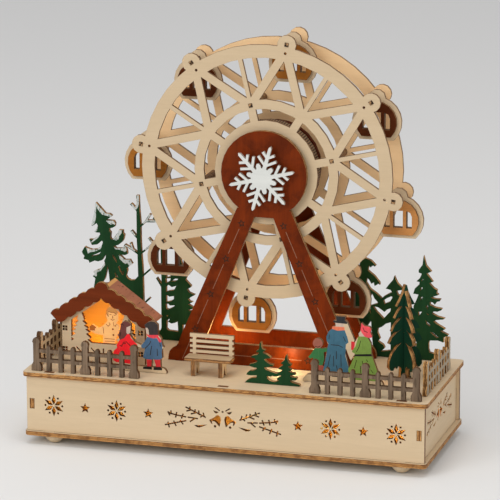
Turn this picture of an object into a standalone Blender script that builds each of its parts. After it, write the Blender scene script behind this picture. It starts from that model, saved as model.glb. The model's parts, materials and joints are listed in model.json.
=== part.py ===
"""Light-up wooden ferris wheel on a lit base box, built from laser cut plywood.

Lengths below are in millimetres and become metres in the meshes. The origin is
under the middle of the base, X runs along the base to the right, Y runs from
the front to the back and Z is up. Most pieces are flat plates: their outlines
are drawn in (u, v) and filled, and the plates are then stood up or laid down.
"""

import math

import bmesh
import bpy
from mathutils import Vector
from mathutils.geometry import delaunay_2d_cdt

MM = 0.001
GAP = 0.3                 # glue line or running clearance between two pieces
PLY = 4.0                 # boards, walls, stand and scenery
THIN_PLY = 3.0            # wheel discs, gondolas and small scenery

# Base box
BOARD_LENGTH = 380.0
BOARD_DEPTH = 148.0
BOARD_CORNER = 4.5
BOTTOM_INSET = 1.0
FOOT_RADIUS = 10.0
FOOT_FLAT = 1.6
FOOT_HEIGHT = 8.7
FOOT_INSET_X = 26.0
FOOT_INSET_Y = 14.0
FOOT_X = BOARD_LENGTH / 2 - FOOT_INSET_X
FOOT_Y = BOARD_DEPTH / 2 - FOOT_INSET_Y
WALL_HEIGHT = 51.7
WALL_INSET = 4.0           # board edge to the long walls
END_WALL_INSET = 6.0       # board edge to the end walls
WALL_OVERRUN = 3.0         # long walls past the end walls
WALL_FACE_Y = BOARD_DEPTH / 2 - WALL_INSET
END_WALL_FACE_X = BOARD_LENGTH / 2 - END_WALL_INSET
WALL_HALF_LENGTH = END_WALL_FACE_X + WALL_OVERRUN
TAB_LENGTH = 9.0
TAB_INSET = 21.5
TAB_X = (TAB_INSET - WALL_HALF_LENGTH, 0.0, WALL_HALF_LENGTH - TAB_INSET)
ROSETTE_INSET = 26.0
INNER_STAR_X = 70.4
BOTTOM_Z = FOOT_HEIGHT
WALL_Z = BOTTOM_Z + PLY + GAP
TOP_Z = WALL_Z + WALL_HEIGHT + GAP
BOARD_TOP = TOP_Z + PLY
MOTIF_Z = BOARD_TOP - 31.0
WALL_LOW = WALL_Z - MOTIF_Z
WALL_HIGH = WALL_LOW + WALL_HEIGHT
TENON_V = 0.5
TENON_HEIGHT = 9.0

# Electric parts in the base
BOX_HALF_LENGTH = 40.0
BOX_DEPTH = 34.4
BOX_HEIGHT = 27.0
BOX_WALL = 2.0
COVER_HALF_LENGTH = 34.0
COVER_HALF_DEPTH = 13.0
SLIDER_FOOT = 4.0
BOX_BACK_Y = WALL_FACE_Y - PLY - SLIDER_FOOT - 2 * GAP
BOX_FRONT_Y = BOX_BACK_Y - BOX_DEPTH
COVER_Y = (BOX_FRONT_Y + BOX_BACK_Y) / 2
SWITCH_X = 20.0
SWITCH_Z = 30.0
SWITCH_TRAVEL = 2.0
KNOB_HALF_WIDTH = 2.4
KNOB_HALF_HEIGHT = 2.0
KNOB_PROUD = 2.4

# Wheel and its stand
WHEEL_X = 18.8
WHEEL_HEIGHT = 181.4
WHEEL_Z = BOARD_TOP + WHEEL_HEIGHT
LOBE_TURN = 80.73         # direction of the first lobe, degrees
ARMS = 8
STAND_INSET = 20.0         # board's back edge to the back stand frame
STAND_SPACING = 54.0
STAND_BACK_Y = BOARD_DEPTH / 2 - STAND_INSET
STAND_FRONT_Y = STAND_BACK_Y - STAND_SPACING
DISC_CLEARANCE = 3.5       # between a stand frame and the disc beside it
FRONT_DISC_Y = STAND_FRONT_Y + PLY + DISC_CLEARANCE
BACK_DISC_Y = STAND_BACK_Y - DISC_CLEARANCE - THIN_PLY
RIM_OUTER = 118.0
RIM_INNER = 106.0
NODE_RADIUS = 63.0
MID_OUTER = NODE_RADIUS + 4.8
MID_INNER = NODE_RADIUS - 4.0
HUB_RING = 48.4
LOBE_RADIUS = 8.8
LOBE_CENTRE = 120.3
PIN_HOLE_CENTRE = 112.2
PIN_HOLE_RADIUS = 1.35
STRUT_WIDTH = 7.5
SPOKE_WIDTH = 4.0
BAR_SIDE = 3.2
BAR_PROUD = 0.5
CROSSBAR_RADIUS = 4.2
CROSSBAR_STEPS = (1, 3, 5, 7)
AXLE_RADIUS = 5.0
DRUM_RADIUS = 46.5
DRUM_BACK_RADIUS = 41.5
DRUM_CORE = 14.0
DRUM_FLANGE = 14.0
DRUM_BACK_FLANGE = 5.0
STAND_HALF_LENGTH = 92.1
STAND_DISC = 40.3
STAND_BEAM = 20.0
STAND_TENON = (73.0, 85.0)
SNOWFLAKE_STANDOFF = 5.0
SNOWFLAKE_BACK_Y = STAND_FRONT_Y - SNOWFLAKE_STANDOFF
SNOWFLAKE_DROP = 2.3
SNOWFLAKE_TURN = 14.0

# Gondolas
GONDOLA_DROP = 21.6       # from the bar down to the middle of the cabin
GONDOLA_RADIUS = 23.0
GONDOLA_FLOOR = -38.4
GONDOLA_PANEL_RADIUS = 19.0
GONDOLA_PANEL_FLOOR = -35.0
GONDOLA_HANGER = 8.0
GONDOLA_HOLE = 2.6
GONDOLA_Y = STAND_FRONT_Y + 29.0

# Scenery
STAND_ON = BOARD_TOP + GAP
FENCE_INSET_Y = 6.5
FENCE_INSET_X = 10.0
FENCE_FRONT_Y = FENCE_INSET_Y - BOARD_DEPTH / 2
FENCE_END_X = BOARD_LENGTH / 2 - FENCE_INSET_X
FENCE_BAY = 46.65
FENCE_END_BAY = 42.0
FENCE_CORNER = 11.9        # board's end to the corner post
FENCE_RETURN = 21.5        # front fence to the first post of the end fence
HUT_SHIFT = 1.25           # left of the middle between fence and stand
HUT_X = (WHEEL_X - STAND_HALF_LENGTH - FENCE_END_X) / 2 - HUT_SHIFT
HUT_FRONT_Y = -24.5
HUT_BACK_Y = 7.5
HUT_HALF = 40.0
HUT_EAVE = 38.0
HUT_SLOPE = 0.7265        # rise of the roof over its run
ROOF_THICK = 3.0
ROOF_REACH = 44.0
TREES_INSET_Y = 12.0
TREES_Y = BOARD_DEPTH / 2 - TREES_INSET_Y
TREES_LEFT_X = 12.0 - BOARD_LENGTH / 2
TREES_RIGHT_X = BOARD_LENGTH / 2 - 104.0
BENCH_Y = -46.0
FIR_X = BOARD_LENGTH / 2 - 38.0
FAMILY_X = BOARD_LENGTH / 2 - 125.2
FIR_Y = -4.0

PALE_PLY = ("pale plywood", (0.62, 0.46, 0.29), 0.62)
RED_BROWN = ("red brown stain", (0.20, 0.035, 0.012), 0.55)
ORANGE_BROWN = ("orange brown stain", (0.48, 0.17, 0.035), 0.55)
DARK_BROWN = ("dark brown stain", (0.13, 0.028, 0.010), 0.55)
MAUVE_BROWN = ("mauve brown stain", (0.25, 0.115, 0.085), 0.6)
GREY_STAIN = ("grey stain", (0.17, 0.125, 0.09), 0.65)
DARK_GREEN = ("dark green paint", (0.012, 0.055, 0.022), 0.55)
WHITE_PAINT = ("white paint", (0.78, 0.77, 0.74), 0.5)
BLACK_PLASTIC = ("black plastic", (0.02, 0.02, 0.022), 0.4)
GREY_PLASTIC = ("grey plastic", (0.30, 0.30, 0.31), 0.45)
WARM_LAMP = ("warm lamp", (0.95, 0.62, 0.25), 0.25)


def clear_scene():
    """Remove what the opened file holds."""
    for obj in list(bpy.data.objects):
        bpy.data.objects.remove(obj, do_unlink=True)


def arc(cx, cy, radius, start, end, steps):
    """Points on an arc, angles in degrees, both ends included."""
    points = []
    for i in range(steps + 1):
        angle = math.radians(start + (end - start) * i / steps)
        points.append((cx + radius * math.cos(angle), cy + radius * math.sin(angle)))
    return points


def circle(cx, cy, radius, steps):
    return arc(cx, cy, radius, 0.0, 360.0, steps)[:-1]


def rect(x0, y0, x1, y1):
    return [(x0, y0), (x1, y0), (x1, y1), (x0, y1)]


def rounded_rect(half_x, half_y, radius, steps=3):
    """A rectangle about the origin with rounded corners."""
    x = half_x - radius
    y = half_y - radius
    points = arc(x, y, radius, 0, 90, steps)
    points += arc(-x, y, radius, 90, 180, steps)
    points += arc(-x, -y, radius, 180, 270, steps)
    return points + arc(x, -y, radius, 270, 360, steps)


def bar(start, end, width):
    """A straight bar of constant width between two points."""
    dx = end[0] - start[0]
    dy = end[1] - start[1]
    scale = width / 2 / math.hypot(dx, dy)
    nx = -dy * scale
    ny = dx * scale
    return [(start[0] - nx, start[1] - ny), (end[0] - nx, end[1] - ny),
            (end[0] + nx, end[1] + ny), (start[0] + nx, start[1] + ny)]


def polar(radius, angle):
    """The point at a radius and an angle in degrees."""
    return (radius * math.cos(math.radians(angle)), radius * math.sin(math.radians(angle)))


def turned(points, angle):
    """Points turned about the origin by an angle in degrees."""
    c = math.cos(math.radians(angle))
    s = math.sin(math.radians(angle))
    return [(c * x - s * y, s * x + c * y) for x, y in points]


def moved(points, dx, dy, scale=1.0):
    return [(dx + scale * x, dy + scale * y) for x, y in points]


def mirrored(points, axis=0.0):
    """Points mirrored in the vertical line u = axis, order reversed."""
    return [(2 * axis - x, y) for x, y in reversed(points)]


def both_sides(right_side, axis=0.0):
    """A symmetric outline from its right side, listed from the bottom to the top."""
    left_side = [p for p in mirrored(right_side, axis) if abs(p[0] - axis) > 1e-6]
    return list(right_side) + left_side


def scallops(cusps, sagitta, steps=3):
    """Arcs that bulge to the right of the way from each cusp to the next."""
    points = []
    for start, end in zip(cusps, cusps[1:]):
        chord = math.dist(start, end)
        radius = (chord * chord / 4 + sagitta * sagitta) / (2 * sagitta)
        half = math.degrees(math.asin(chord / 2 / radius))
        heading = math.degrees(math.atan2(end[1] - start[1], end[0] - start[0]))
        mid = ((start[0] + end[0]) / 2, (start[1] + end[1]) / 2)
        back = polar(radius - sagitta, heading + 90)
        centre = (mid[0] + back[0], mid[1] + back[1])
        points += arc(*centre, radius, heading - 90 - half, heading - 90 + half, steps)[:-1]
    return points


def add(outline, bottom=None, top=None):
    """A filled outline; its bottom and top default to the plate's own faces."""
    return (outline, bottom, top)


def cut(outline):
    """An outline that removes what is under it."""
    return (outline, "cut", None)


def inside(point, outline):
    x, y = point
    hit = False
    j = len(outline) - 1
    for i in range(len(outline)):
        xi, yi = outline[i]
        xj, yj = outline[j]
        if (yi > y) != (yj > y) and x < (xj - xi) * (y - yi) / (yj - yi) + xi:
            hit = not hit
        j = i
    return hit


def span_at(point, steps, thickness):
    """The bottom and top of the material at a point, or None in a hole."""
    span = None
    for outline, bottom, top in steps:
        if not inside(point, outline):
            continue
        if bottom == "cut":
            span = None
            continue
        low = 0.0 if bottom is None else bottom
        high = thickness if top is None else top
        span = (low, high) if span is None else (min(low, span[0]), max(high, span[1]))
    return span


def triangulate(points, edges, steps, thickness):
    """Triangles between the edges, each with the span of material it carries."""
    result = delaunay_2d_cdt([Vector(p) for p in points], edges, [], 0, 1e-4, False)
    coords = [(v[0], v[1]) for v in result[0]]
    filled = []
    for tri in result[2]:
        centre = (sum(coords[i][0] for i in tri) / 3, sum(coords[i][1] for i in tri) / 3)
        span = span_at(centre, steps, thickness)
        if span:
            filled.append((tuple(tri), span))
    return coords, filled


def straightened(coords, lines):
    """The same lines without the points that lie midway along a straight run."""
    near = {}
    for a, b in lines:
        near.setdefault(a, set()).add(b)
        near.setdefault(b, set()).add(a)
    for point in list(near):
        if len(near[point]) != 2:
            continue
        a, b = near[point]
        ax, ay = (coords[a][0] - coords[point][0], coords[a][1] - coords[point][1])
        bx, by = (coords[b][0] - coords[point][0], coords[b][1] - coords[point][1])
        turn = abs(ax * by - ay * bx) / (math.hypot(ax, ay) * math.hypot(bx, by))
        if turn < 1e-3 and ax * bx + ay * by < 0 and b not in near[a]:
            near[a].remove(point)
            near[b].remove(point)
            near[a].add(b)
            near[b].add(a)
            del near[point]
    order = {point: i for i, point in enumerate(near)}
    pairs = [(order[a], order[b]) for a in near for b in near[a] if a < b]
    return [coords[point] for point in near], pairs


def relief(steps, thickness):
    """Vertices and faces of the solid that the steps describe, in (u, v, w)."""
    points = []
    edges = []
    for outline, _, _ in steps:
        first = len(points)
        points.extend(outline)
        count = len(outline)
        edges.extend((first + i, first + (i + 1) % count) for i in range(count))
    coords, filled = triangulate(points, edges, steps, thickness)

    # Keep only the lines where the material's span changes, and fill again.
    side = {}
    for tri, span in filled:
        for a, b in zip(tri, tri[1:] + tri[:1]):
            side[(a, b)] = span
    lines = [(a, b) for (a, b), span in side.items()
             if side.get((b, a)) != span and (a < b or (b, a) not in side)]
    coords, lines = straightened(coords, lines)
    coords, filled = triangulate(coords, lines, steps, thickness)

    verts = []
    index = {}
    faces = []

    def vert(point, height):
        key = (point, height)
        if key not in index:
            index[key] = len(verts)
            verts.append((coords[point][0] * MM, coords[point][1] * MM, height * MM))
        return index[key]

    side = {}
    for tri, span in filled:
        for a, b in zip(tri, tri[1:] + tri[:1]):
            side[(a, b)] = span
    for (a, b, c), (low, high) in filled:
        faces.append((vert(a, high), vert(b, high), vert(c, high)))
        faces.append((vert(c, low), vert(b, low), vert(a, low)))
    for (a, b), (low, high) in side.items():
        other = side.get((b, a))
        if other is None:
            rises = [(low, high)]
        else:
            rises = []
            if low < other[0]:
                rises.append((low, other[0]))
            if high > other[1]:
                rises.append((other[1], high))
        for z0, z1 in rises:
            faces.append((vert(a, z0), vert(b, z0), vert(b, z1), vert(a, z1)))
    return verts, faces


def finish_object(name, verts, faces, finish, location, rotation, parent=None):
    """Make one named object with its own material."""
    mesh = bpy.data.meshes.new(name)
    mesh.from_pydata(verts, [], faces)
    mesh.update()
    mesh.shade_smooth()
    mesh.set_sharp_from_angle(angle=math.radians(32))
    obj = bpy.data.objects.new(name, mesh)
    bpy.context.scene.collection.objects.link(obj)
    give_material(obj, finish)
    obj.location = [v * MM for v in location]
    obj.rotation_euler = rotation
    if parent is not None:
        obj.parent = parent
    return obj


def give_material(obj, finish):
    label, colour, roughness = finish
    mat = bpy.data.materials.new(f"{obj.name} {label}")
    mat.use_nodes = True
    shader = mat.node_tree.nodes["Principled BSDF"]
    shader.inputs["Base Color"].default_value = (*colour, 1.0)
    shader.inputs["Roughness"].default_value = roughness
    shader.inputs["Metallic"].default_value = 0.0
    mat.diffuse_color = (*colour, 1.0)
    obj.data.materials.append(mat)


def board(name, steps, z, finish, thickness=PLY):
    """A plate that lies flat, its underside at z."""
    verts, faces = relief(steps, thickness)
    return finish_object(name, verts, faces, finish, (0, 0, z), (0, 0, 0))


def across(name, steps, y, finish, thickness=PLY, x=0.0, z=STAND_ON, parent=None):
    """A standing plate that faces the front; y is its front face."""
    verts, faces = relief(steps, thickness)
    spot = (x, y + thickness, z)
    return finish_object(name, verts, faces, finish, spot, (math.pi / 2, 0, 0), parent)


def along(name, steps, x, finish, thickness=PLY, y=0.0, z=STAND_ON):
    """A standing plate that faces the ends; x is its left face, u runs to the back."""
    verts, faces = relief(steps, thickness)
    return finish_object(name, verts, faces, finish, (x, y, z), (math.pi / 2, 0, math.pi / 2))


def empty(name, location):
    """A joint frame; its own local Y is the axis the piece turns about."""
    obj = bpy.data.objects.new(name, None)
    obj.location = [v * MM for v in location]
    bpy.context.scene.collection.objects.link(obj)
    return obj


def lathe(name, profile, segments, finish, location, rotation=(0, 0, 0), parent=None):
    """A turned piece about local Z from (radius, height) pairs, bottom to top."""
    verts = []
    rings = []
    for radius, height in profile:
        if radius == 0.0:
            rings.append([len(verts)] * segments)
            verts.append((0.0, 0.0, height * MM))
            continue
        rings.append(list(range(len(verts), len(verts) + segments)))
        for x, y in circle(0, 0, radius, segments):
            verts.append((x * MM, y * MM, height * MM))
    faces = []
    for low, high in zip(rings, rings[1:]):
        for i in range(segments):
            j = (i + 1) % segments
            corners = [low[i], low[j], high[j], high[i]]
            faces.append(tuple(dict.fromkeys(corners)))
    if profile[0][0] > 0:
        faces.append(tuple(reversed(rings[0])))
    if profile[-1][0] > 0:
        faces.append(tuple(rings[-1]))
    return finish_object(name, verts, faces, finish, location, rotation, parent)


# ---------------------------------------------------------------- cut-outs


def rosette(cx, cy):
    """Six kite petals round a point."""
    petal = [(1.0, 0.0), (4.6, -1.6), (10.2, 0.0), (4.6, 1.6)]
    return [cut(moved(turned(petal, 30 + 60 * i), cx, cy)) for i in range(6)]


def star(cx, cy, outer, inner, points=5):
    """A star with one point up."""
    outline = []
    for i in range(2 * points):
        radius = inner if i % 2 else outer
        outline.append(polar(radius, 90 + 180 * i / points))
    return moved(outline, cx, cy)


def twig(start, end, pairs, needle=2.3):
    """A fir twig, toothed along both sides by needles that lean to its tip."""
    length = math.dist(start, end)
    heading = math.degrees(math.atan2(end[1] - start[1], end[0] - start[0]))
    stem = 0.5
    lower = [(0.0, -stem)]
    for i in range(pairs):
        root = length * (i + 0.3) / pairs
        lower.append((root, -stem))
        lower.append((root + 0.7 * needle, -0.75 * needle))
    lower.append((length - 0.5 * needle, -stem))
    upper = [(u, -v) for u, v in reversed(lower)]
    return [moved(turned(lower + [(length, 0.0)] + upper, heading), *start)]


def bell_motif(pairs):
    """Left half of the cut-out with a bow, a bell, a leaf and fir twigs."""
    bow_upper = [(-7.9, 11.4), (-7.0, 10.2), (-2.8, 7.9), (-2.1, 9.1)]
    bow_lower = [(-8.8, 8.9), (-3.2, 6.6), (-6.2, 5.6)]
    bell = [(-4.7, 4.2), (-1.3, 1.0), (-1.9, -3.2), (-2.8, -7.3), (-6.9, -2.6),
            (-9.9, -5.2), (-12.6, -0.8), (-8.4, 1.2)]
    leaf = [(-26.5, -7.5), (-22.0, -9.8), (-17.4, -8.6), (-13.7, -5.6), (-17.4, -6.4),
            (-21.2, -7.4)]
    outlines = [bow_upper, bow_lower, bell, circle(-6.8, -6.9, 1.4, 8), leaf]
    outlines += twig((-16.0, 1.3), (-34.4, 9.8), pairs + 1)
    outlines += twig((-34.8, -0.4), (-51.4, 2.9), pairs)
    outlines += twig((-34.4, -3.6), (-54.0, -9.4), pairs)
    outlines.append(bar((-23.5, -0.8), (-32.5, 0.9), 1.1))
    outlines.append(bar((-25.8, -0.6), (-30.3, -4.3), 1.0))
    return outlines


def bell_steps(pairs, dy=0.0, scale=1.0):
    """Both halves of the motif with the bow's knot between them."""
    knot = [(-1.0, 6.6), (1.0, 6.6), (0.0, 8.4)]
    steps = [cut(moved(knot, 0, dy, scale))]
    for outline in bell_motif(pairs):
        placed = moved(outline, 0, dy, scale)
        steps.append(cut(placed))
        steps.append(cut(mirrored(placed)))
    return steps


# ---------------------------------------------------------------- base box


def tab_slots(y):
    """Slots in a board for the tabs of the wall whose middle is at y."""
    half_long = TAB_LENGTH / 2 + GAP
    half_wide = PLY / 2 + GAP
    return [cut(rect(x - half_long, y - half_wide, x + half_long, y + half_wide)) for x in TAB_X]


def stand_slots():
    """Slots in the top board for the tenons of the two stand frames."""
    steps = []
    near, far = STAND_TENON
    for y in (STAND_FRONT_Y, STAND_BACK_Y):
        for sign in (-1, 1):
            a = WHEEL_X + sign * near
            b = WHEEL_X + sign * far
            steps.append(cut(rect(min(a, b) - GAP, y - GAP, max(a, b) + GAP, y + PLY + GAP)))
    return steps


def top_board():
    wall_mid = WALL_FACE_Y - PLY / 2
    steps = [add(rounded_rect(BOARD_LENGTH / 2, BOARD_DEPTH / 2, BOARD_CORNER))]
    steps += tab_slots(-wall_mid) + tab_slots(wall_mid) + stand_slots()
    board("top_board", steps, TOP_Z, PALE_PLY)


def bottom_board():
    wall_mid = WALL_FACE_Y - PLY / 2
    half_x = BOARD_LENGTH / 2 - BOTTOM_INSET
    half_y = BOARD_DEPTH / 2 - BOTTOM_INSET
    steps = [add(rounded_rect(half_x, half_y, BOARD_CORNER))]
    steps += tab_slots(-wall_mid) + tab_slots(wall_mid)
    opening = rounded_rect(COVER_HALF_LENGTH + GAP, COVER_HALF_DEPTH + GAP, 3.3, 2)
    steps.append(cut(moved(opening, 0, COVER_Y)))
    board("bottom_board", steps, BOTTOM_Z, PALE_PLY)


def wall_body():
    """A long wall with its tabs and the slots for the end walls' tenons."""
    steps = [add(rect(-WALL_HALF_LENGTH, WALL_LOW, WALL_HALF_LENGTH, WALL_HIGH))]
    for x in TAB_X:
        low = WALL_LOW - GAP - PLY
        high = WALL_HIGH + GAP + PLY
        steps.append(add(rect(x - TAB_LENGTH / 2, low, x + TAB_LENGTH / 2, high)))
    for sign in (-1, 1):
        x = sign * (END_WALL_FACE_X - PLY / 2)
        half_wide = PLY / 2 + GAP
        half_high = TENON_HEIGHT / 2 + GAP
        steps.append(cut(rect(x - half_wide, TENON_V - half_high,
                              x + half_wide, TENON_V + half_high)))
    return steps


def front_wall():
    steps = wall_body()
    outer_rosette_x = WALL_HALF_LENGTH - ROSETTE_INSET
    pitch = (outer_rosette_x - INNER_STAR_X) / 3
    for sign in (-1, 1):
        for i in (0, 2):
            steps += rosette(sign * (outer_rosette_x - i * pitch), 0.0)
            steps.append(cut(star(sign * (INNER_STAR_X + i * pitch), 0.0, 4.5, 1.9)))
    steps += bell_steps(3)
    across("front_wall", steps, -WALL_FACE_Y, PALE_PLY, z=MOTIF_Z)


def back_wall():
    steps = wall_body()
    v = SWITCH_Z - MOTIF_Z
    half_x = KNOB_HALF_WIDTH + SWITCH_TRAVEL + GAP
    half_v = KNOB_HALF_HEIGHT + GAP
    steps.append(cut(rect(SWITCH_X - half_x, v - half_v, SWITCH_X + half_x, v + half_v)))
    across("back_wall", steps, WALL_FACE_Y - PLY, PALE_PLY, z=MOTIF_Z)


def end_wall(name, x):
    inner = WALL_FACE_Y - PLY - GAP
    steps = [add(rect(-inner, WALL_LOW, inner, WALL_HIGH))]
    half = TENON_HEIGHT / 2
    steps.append(add(rect(-WALL_FACE_Y, TENON_V - half, WALL_FACE_Y, TENON_V + half)))
    steps += bell_steps(1, dy=2.9, scale=0.9)
    along(name, steps, x, PALE_PLY, z=MOTIF_Z)


def feet():
    """Four half balls; a small flat keeps each one steady."""
    centre = math.sqrt(FOOT_RADIUS ** 2 - FOOT_FLAT ** 2)
    top = FOOT_HEIGHT - GAP
    first = math.asin(FOOT_FLAT / FOOT_RADIUS)
    last = math.acos((centre - top) / FOOT_RADIUS)
    profile = []
    steps = 3
    for i in range(steps + 1):
        angle = first + (last - first) * i / steps
        profile.append((FOOT_RADIUS * math.sin(angle), centre - FOOT_RADIUS * math.cos(angle)))
    for i, (sx, sy) in enumerate(((-1, -1), (1, -1), (-1, 1), (1, 1)), 1):
        lathe(f"foot_{i}", profile, 14, PALE_PLY, (sx * FOOT_X, sy * FOOT_Y, 0))


def power_box():
    """Battery and switch housing on the bottom board, open over the cover."""
    half_depth = (BOX_BACK_Y - BOX_FRONT_Y) / 2
    mesh = bmesh.new()
    bmesh.ops.create_cube(mesh, size=1.0)
    bmesh.ops.scale(mesh, vec=(2 * BOX_HALF_LENGTH * MM, 2 * half_depth * MM, BOX_HEIGHT * MM),
                    verts=mesh.verts)
    underside = [f for f in mesh.faces if f.normal.z < -0.5]
    bmesh.ops.inset_individual(mesh, faces=underside, thickness=BOX_WALL * MM)
    inner = bmesh.ops.extrude_discrete_faces(mesh, faces=underside)["faces"]
    bmesh.ops.translate(mesh, vec=(0, 0, (BOX_HEIGHT - BOX_WALL) * MM),
                        verts=[v for f in inner for v in f.verts])
    data = bpy.data.meshes.new("power_box")
    mesh.to_mesh(data)
    mesh.free()
    obj = bpy.data.objects.new("power_box", data)
    bpy.context.scene.collection.objects.link(obj)
    give_material(obj, BLACK_PLASTIC)
    middle = (BOX_FRONT_Y + BOX_BACK_Y) / 2
    obj.location = (0, middle * MM, (WALL_Z + BOX_HEIGHT / 2) * MM)


def battery_cover():
    outline = rounded_rect(COVER_HALF_LENGTH, COVER_HALF_DEPTH, 3.0, 2)
    board("battery_cover", [add(moved(outline, 0, COVER_Y))], BOTTOM_Z, BLACK_PLASTIC)


def switch_slider():
    """A ribbed knob on a foot that slides between the box and the back wall."""
    knob = SLIDER_FOOT + GAP + PLY + KNOB_PROUD
    steps = [add(rect(-7.5, -4.5, 7.5, 4.5), 0.0, SLIDER_FOOT)]
    steps.append(add(rect(-KNOB_HALF_WIDTH, -KNOB_HALF_HEIGHT, KNOB_HALF_WIDTH, KNOB_HALF_HEIGHT),
                     0.0, knob))
    verts, faces = relief(steps, SLIDER_FOOT)
    finish_object("switch_slider", verts, faces, BLACK_PLASTIC,
                  (SWITCH_X, BOX_BACK_Y + GAP, SWITCH_Z), (math.pi / 2, 0, math.pi))


# ---------------------------------------------------------------- wheel stand


def stand_frame(name, y):
    """A-frame: two legs on a long beam with a disc round the axle."""
    shoulder_v = WHEEL_HEIGHT - 32.8
    apex_v = WHEEL_HEIGHT - 40.4
    side = [(STAND_HALF_LENGTH, 0.0), (91.6, 4.8), (90.7, 8.2), (87.9, 11.5), (86.2, 12.6),
            (84.4, 13.3), (83.0, 15.2), (81.4, 19.0), (79.3, 24.7), (25.3, shoulder_v)]
    opening = [(57.1, STAND_BEAM), (9.0, apex_v)]
    near, far = STAND_TENON
    low = -GAP - PLY
    steps = [add(both_sides(side)), add(circle(0, WHEEL_HEIGHT - GAP, STAND_DISC, 32))]
    steps.append(cut(both_sides(opening)))
    steps.append(add(rect(near, low, far, 5.0)))
    steps.append(add(rect(-far, low, -near, 5.0)))
    steps.append(cut(circle(0, WHEEL_HEIGHT - GAP, AXLE_RADIUS + GAP, 12)))
    across(name, steps, y, RED_BROWN, x=WHEEL_X)


def snowflake():
    """Six branched arms with a short petal between each pair, on a round spacer."""
    spacer = STAND_FRONT_Y - GAP - SNOWFLAKE_BACK_Y
    steps = [add(circle(0, 0, 8.6, 12), -spacer, 0.0)]
    steps.append(add(circle(0, 0, 10.0, 12)))
    outer_branch = (polar(25.0, 13.0), polar(20.0, 0.0))
    inner_branch = (polar(21.3, 24.0), polar(12.5, 0.0))
    for i in range(6):
        angle = SNOWFLAKE_TURN + 60 * i
        arm = [(5.0, -2.0), (29.5, -1.4), (31.5, 0.0), (29.5, 1.4), (5.0, 2.0)]
        steps.append(add(turned(arm, angle)))
        for tip, root in (outer_branch, inner_branch):
            side = bar(root, tip, 2.4)
            steps.append(add(turned(side, angle)))
            steps.append(add(turned([(x, -y) for x, y in reversed(side)], angle)))
        petal = [(5.0, -2.2)] + arc(12.3, 0, 2.2, -90, 90, 3) + [(5.0, 2.2)]
        steps.append(add(turned(petal, angle + 30)))
    across("snowflake", steps, SNOWFLAKE_BACK_Y - THIN_PLY, WHITE_PAINT, thickness=THIN_PLY,
           x=WHEEL_X, z=WHEEL_Z - SNOWFLAKE_DROP)


# ---------------------------------------------------------------- wheel


def wheel_lattice():
    """The steps that both wheel discs share, about the axle."""
    steps = [add(circle(0, 0, RIM_OUTER, 48)), cut(circle(0, 0, RIM_INNER, 40))]
    steps += [add(circle(0, 0, MID_OUTER, 32)), cut(circle(0, 0, MID_INNER, 28))]
    for i in range(ARMS):
        lobe_angle = LOBE_TURN - 45 * i
        node_angle = lobe_angle - 22.5
        lobe = polar(LOBE_CENTRE - 6.0, lobe_angle)
        steps.append(add(bar(polar(NODE_RADIUS, node_angle), lobe, STRUT_WIDTH)))
        steps.append(add(bar(polar(NODE_RADIUS, lobe_angle + 22.5), lobe, STRUT_WIDTH)))
        steps.append(add(bar(polar(NODE_RADIUS, node_angle), polar(RIM_OUTER - 3, node_angle),
                             SPOKE_WIDTH)))
        steps.append(add(bar(polar(DRUM_CORE, node_angle), polar(NODE_RADIUS, node_angle),
                             STRUT_WIDTH)))
    steps.append(add(circle(0, 0, HUB_RING, 28)))
    for i in range(ARMS):
        steps.append(add(moved(circle(0, 0, LOBE_RADIUS, 13),
                               *polar(LOBE_CENTRE, LOBE_TURN - 45 * i))))
    steps.append(cut(circle(0, 0, AXLE_RADIUS + GAP, 12)))
    return steps


def square_at(radius, angle, side):
    """A square on a radius, its sides along and across that radius."""
    half = side / 2
    return turned(rect(radius - half, -half, radius + half, half), angle)


def crossbar_angles():
    """Directions of the four nodes that carry a round crossbar."""
    return [LOBE_TURN - 45 * (k + 0.5) for k in CROSSBAR_STEPS]


def wheel_disc_front(parent):
    steps = wheel_lattice()
    hole = BAR_SIDE + 2 * GAP
    for i in range(ARMS):
        angle = LOBE_TURN - 45 * i
        steps.append(cut(square_at(LOBE_CENTRE, angle, hole)))
        pin_hole = circle(0, 0, PIN_HOLE_RADIUS, 6)
        steps.append(cut(moved(pin_hole, *polar(PIN_HOLE_CENTRE, angle))))
    for angle in crossbar_angles():
        steps.append(cut(square_at(NODE_RADIUS, angle, hole)))
    across("wheel_disc_front", steps, FRONT_DISC_Y, PALE_PLY, THIN_PLY, z=0, parent=parent)


def wheel_disc_back(parent):
    """The back disc with the eight gondola bars and four round crossbars on it."""
    steps = wheel_lattice()
    reach = BACK_DISC_Y + THIN_PLY - FRONT_DISC_Y + BAR_PROUD
    shoulder = BACK_DISC_Y - FRONT_DISC_Y - GAP
    for i in range(ARMS):
        steps.append(add(square_at(LOBE_CENTRE, LOBE_TURN - 45 * i, BAR_SIDE), 0.0, reach))
    for angle in crossbar_angles():
        spot = polar(NODE_RADIUS, angle)
        steps.append(add(moved(circle(0, 0, CROSSBAR_RADIUS, 10), *spot), 0.0, shoulder))
        steps.append(add(square_at(NODE_RADIUS, angle, BAR_SIDE), 0.0, reach))
    across("wheel_disc_back", steps, BACK_DISC_Y, PALE_PLY, THIN_PLY, z=0, parent=parent)


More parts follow.
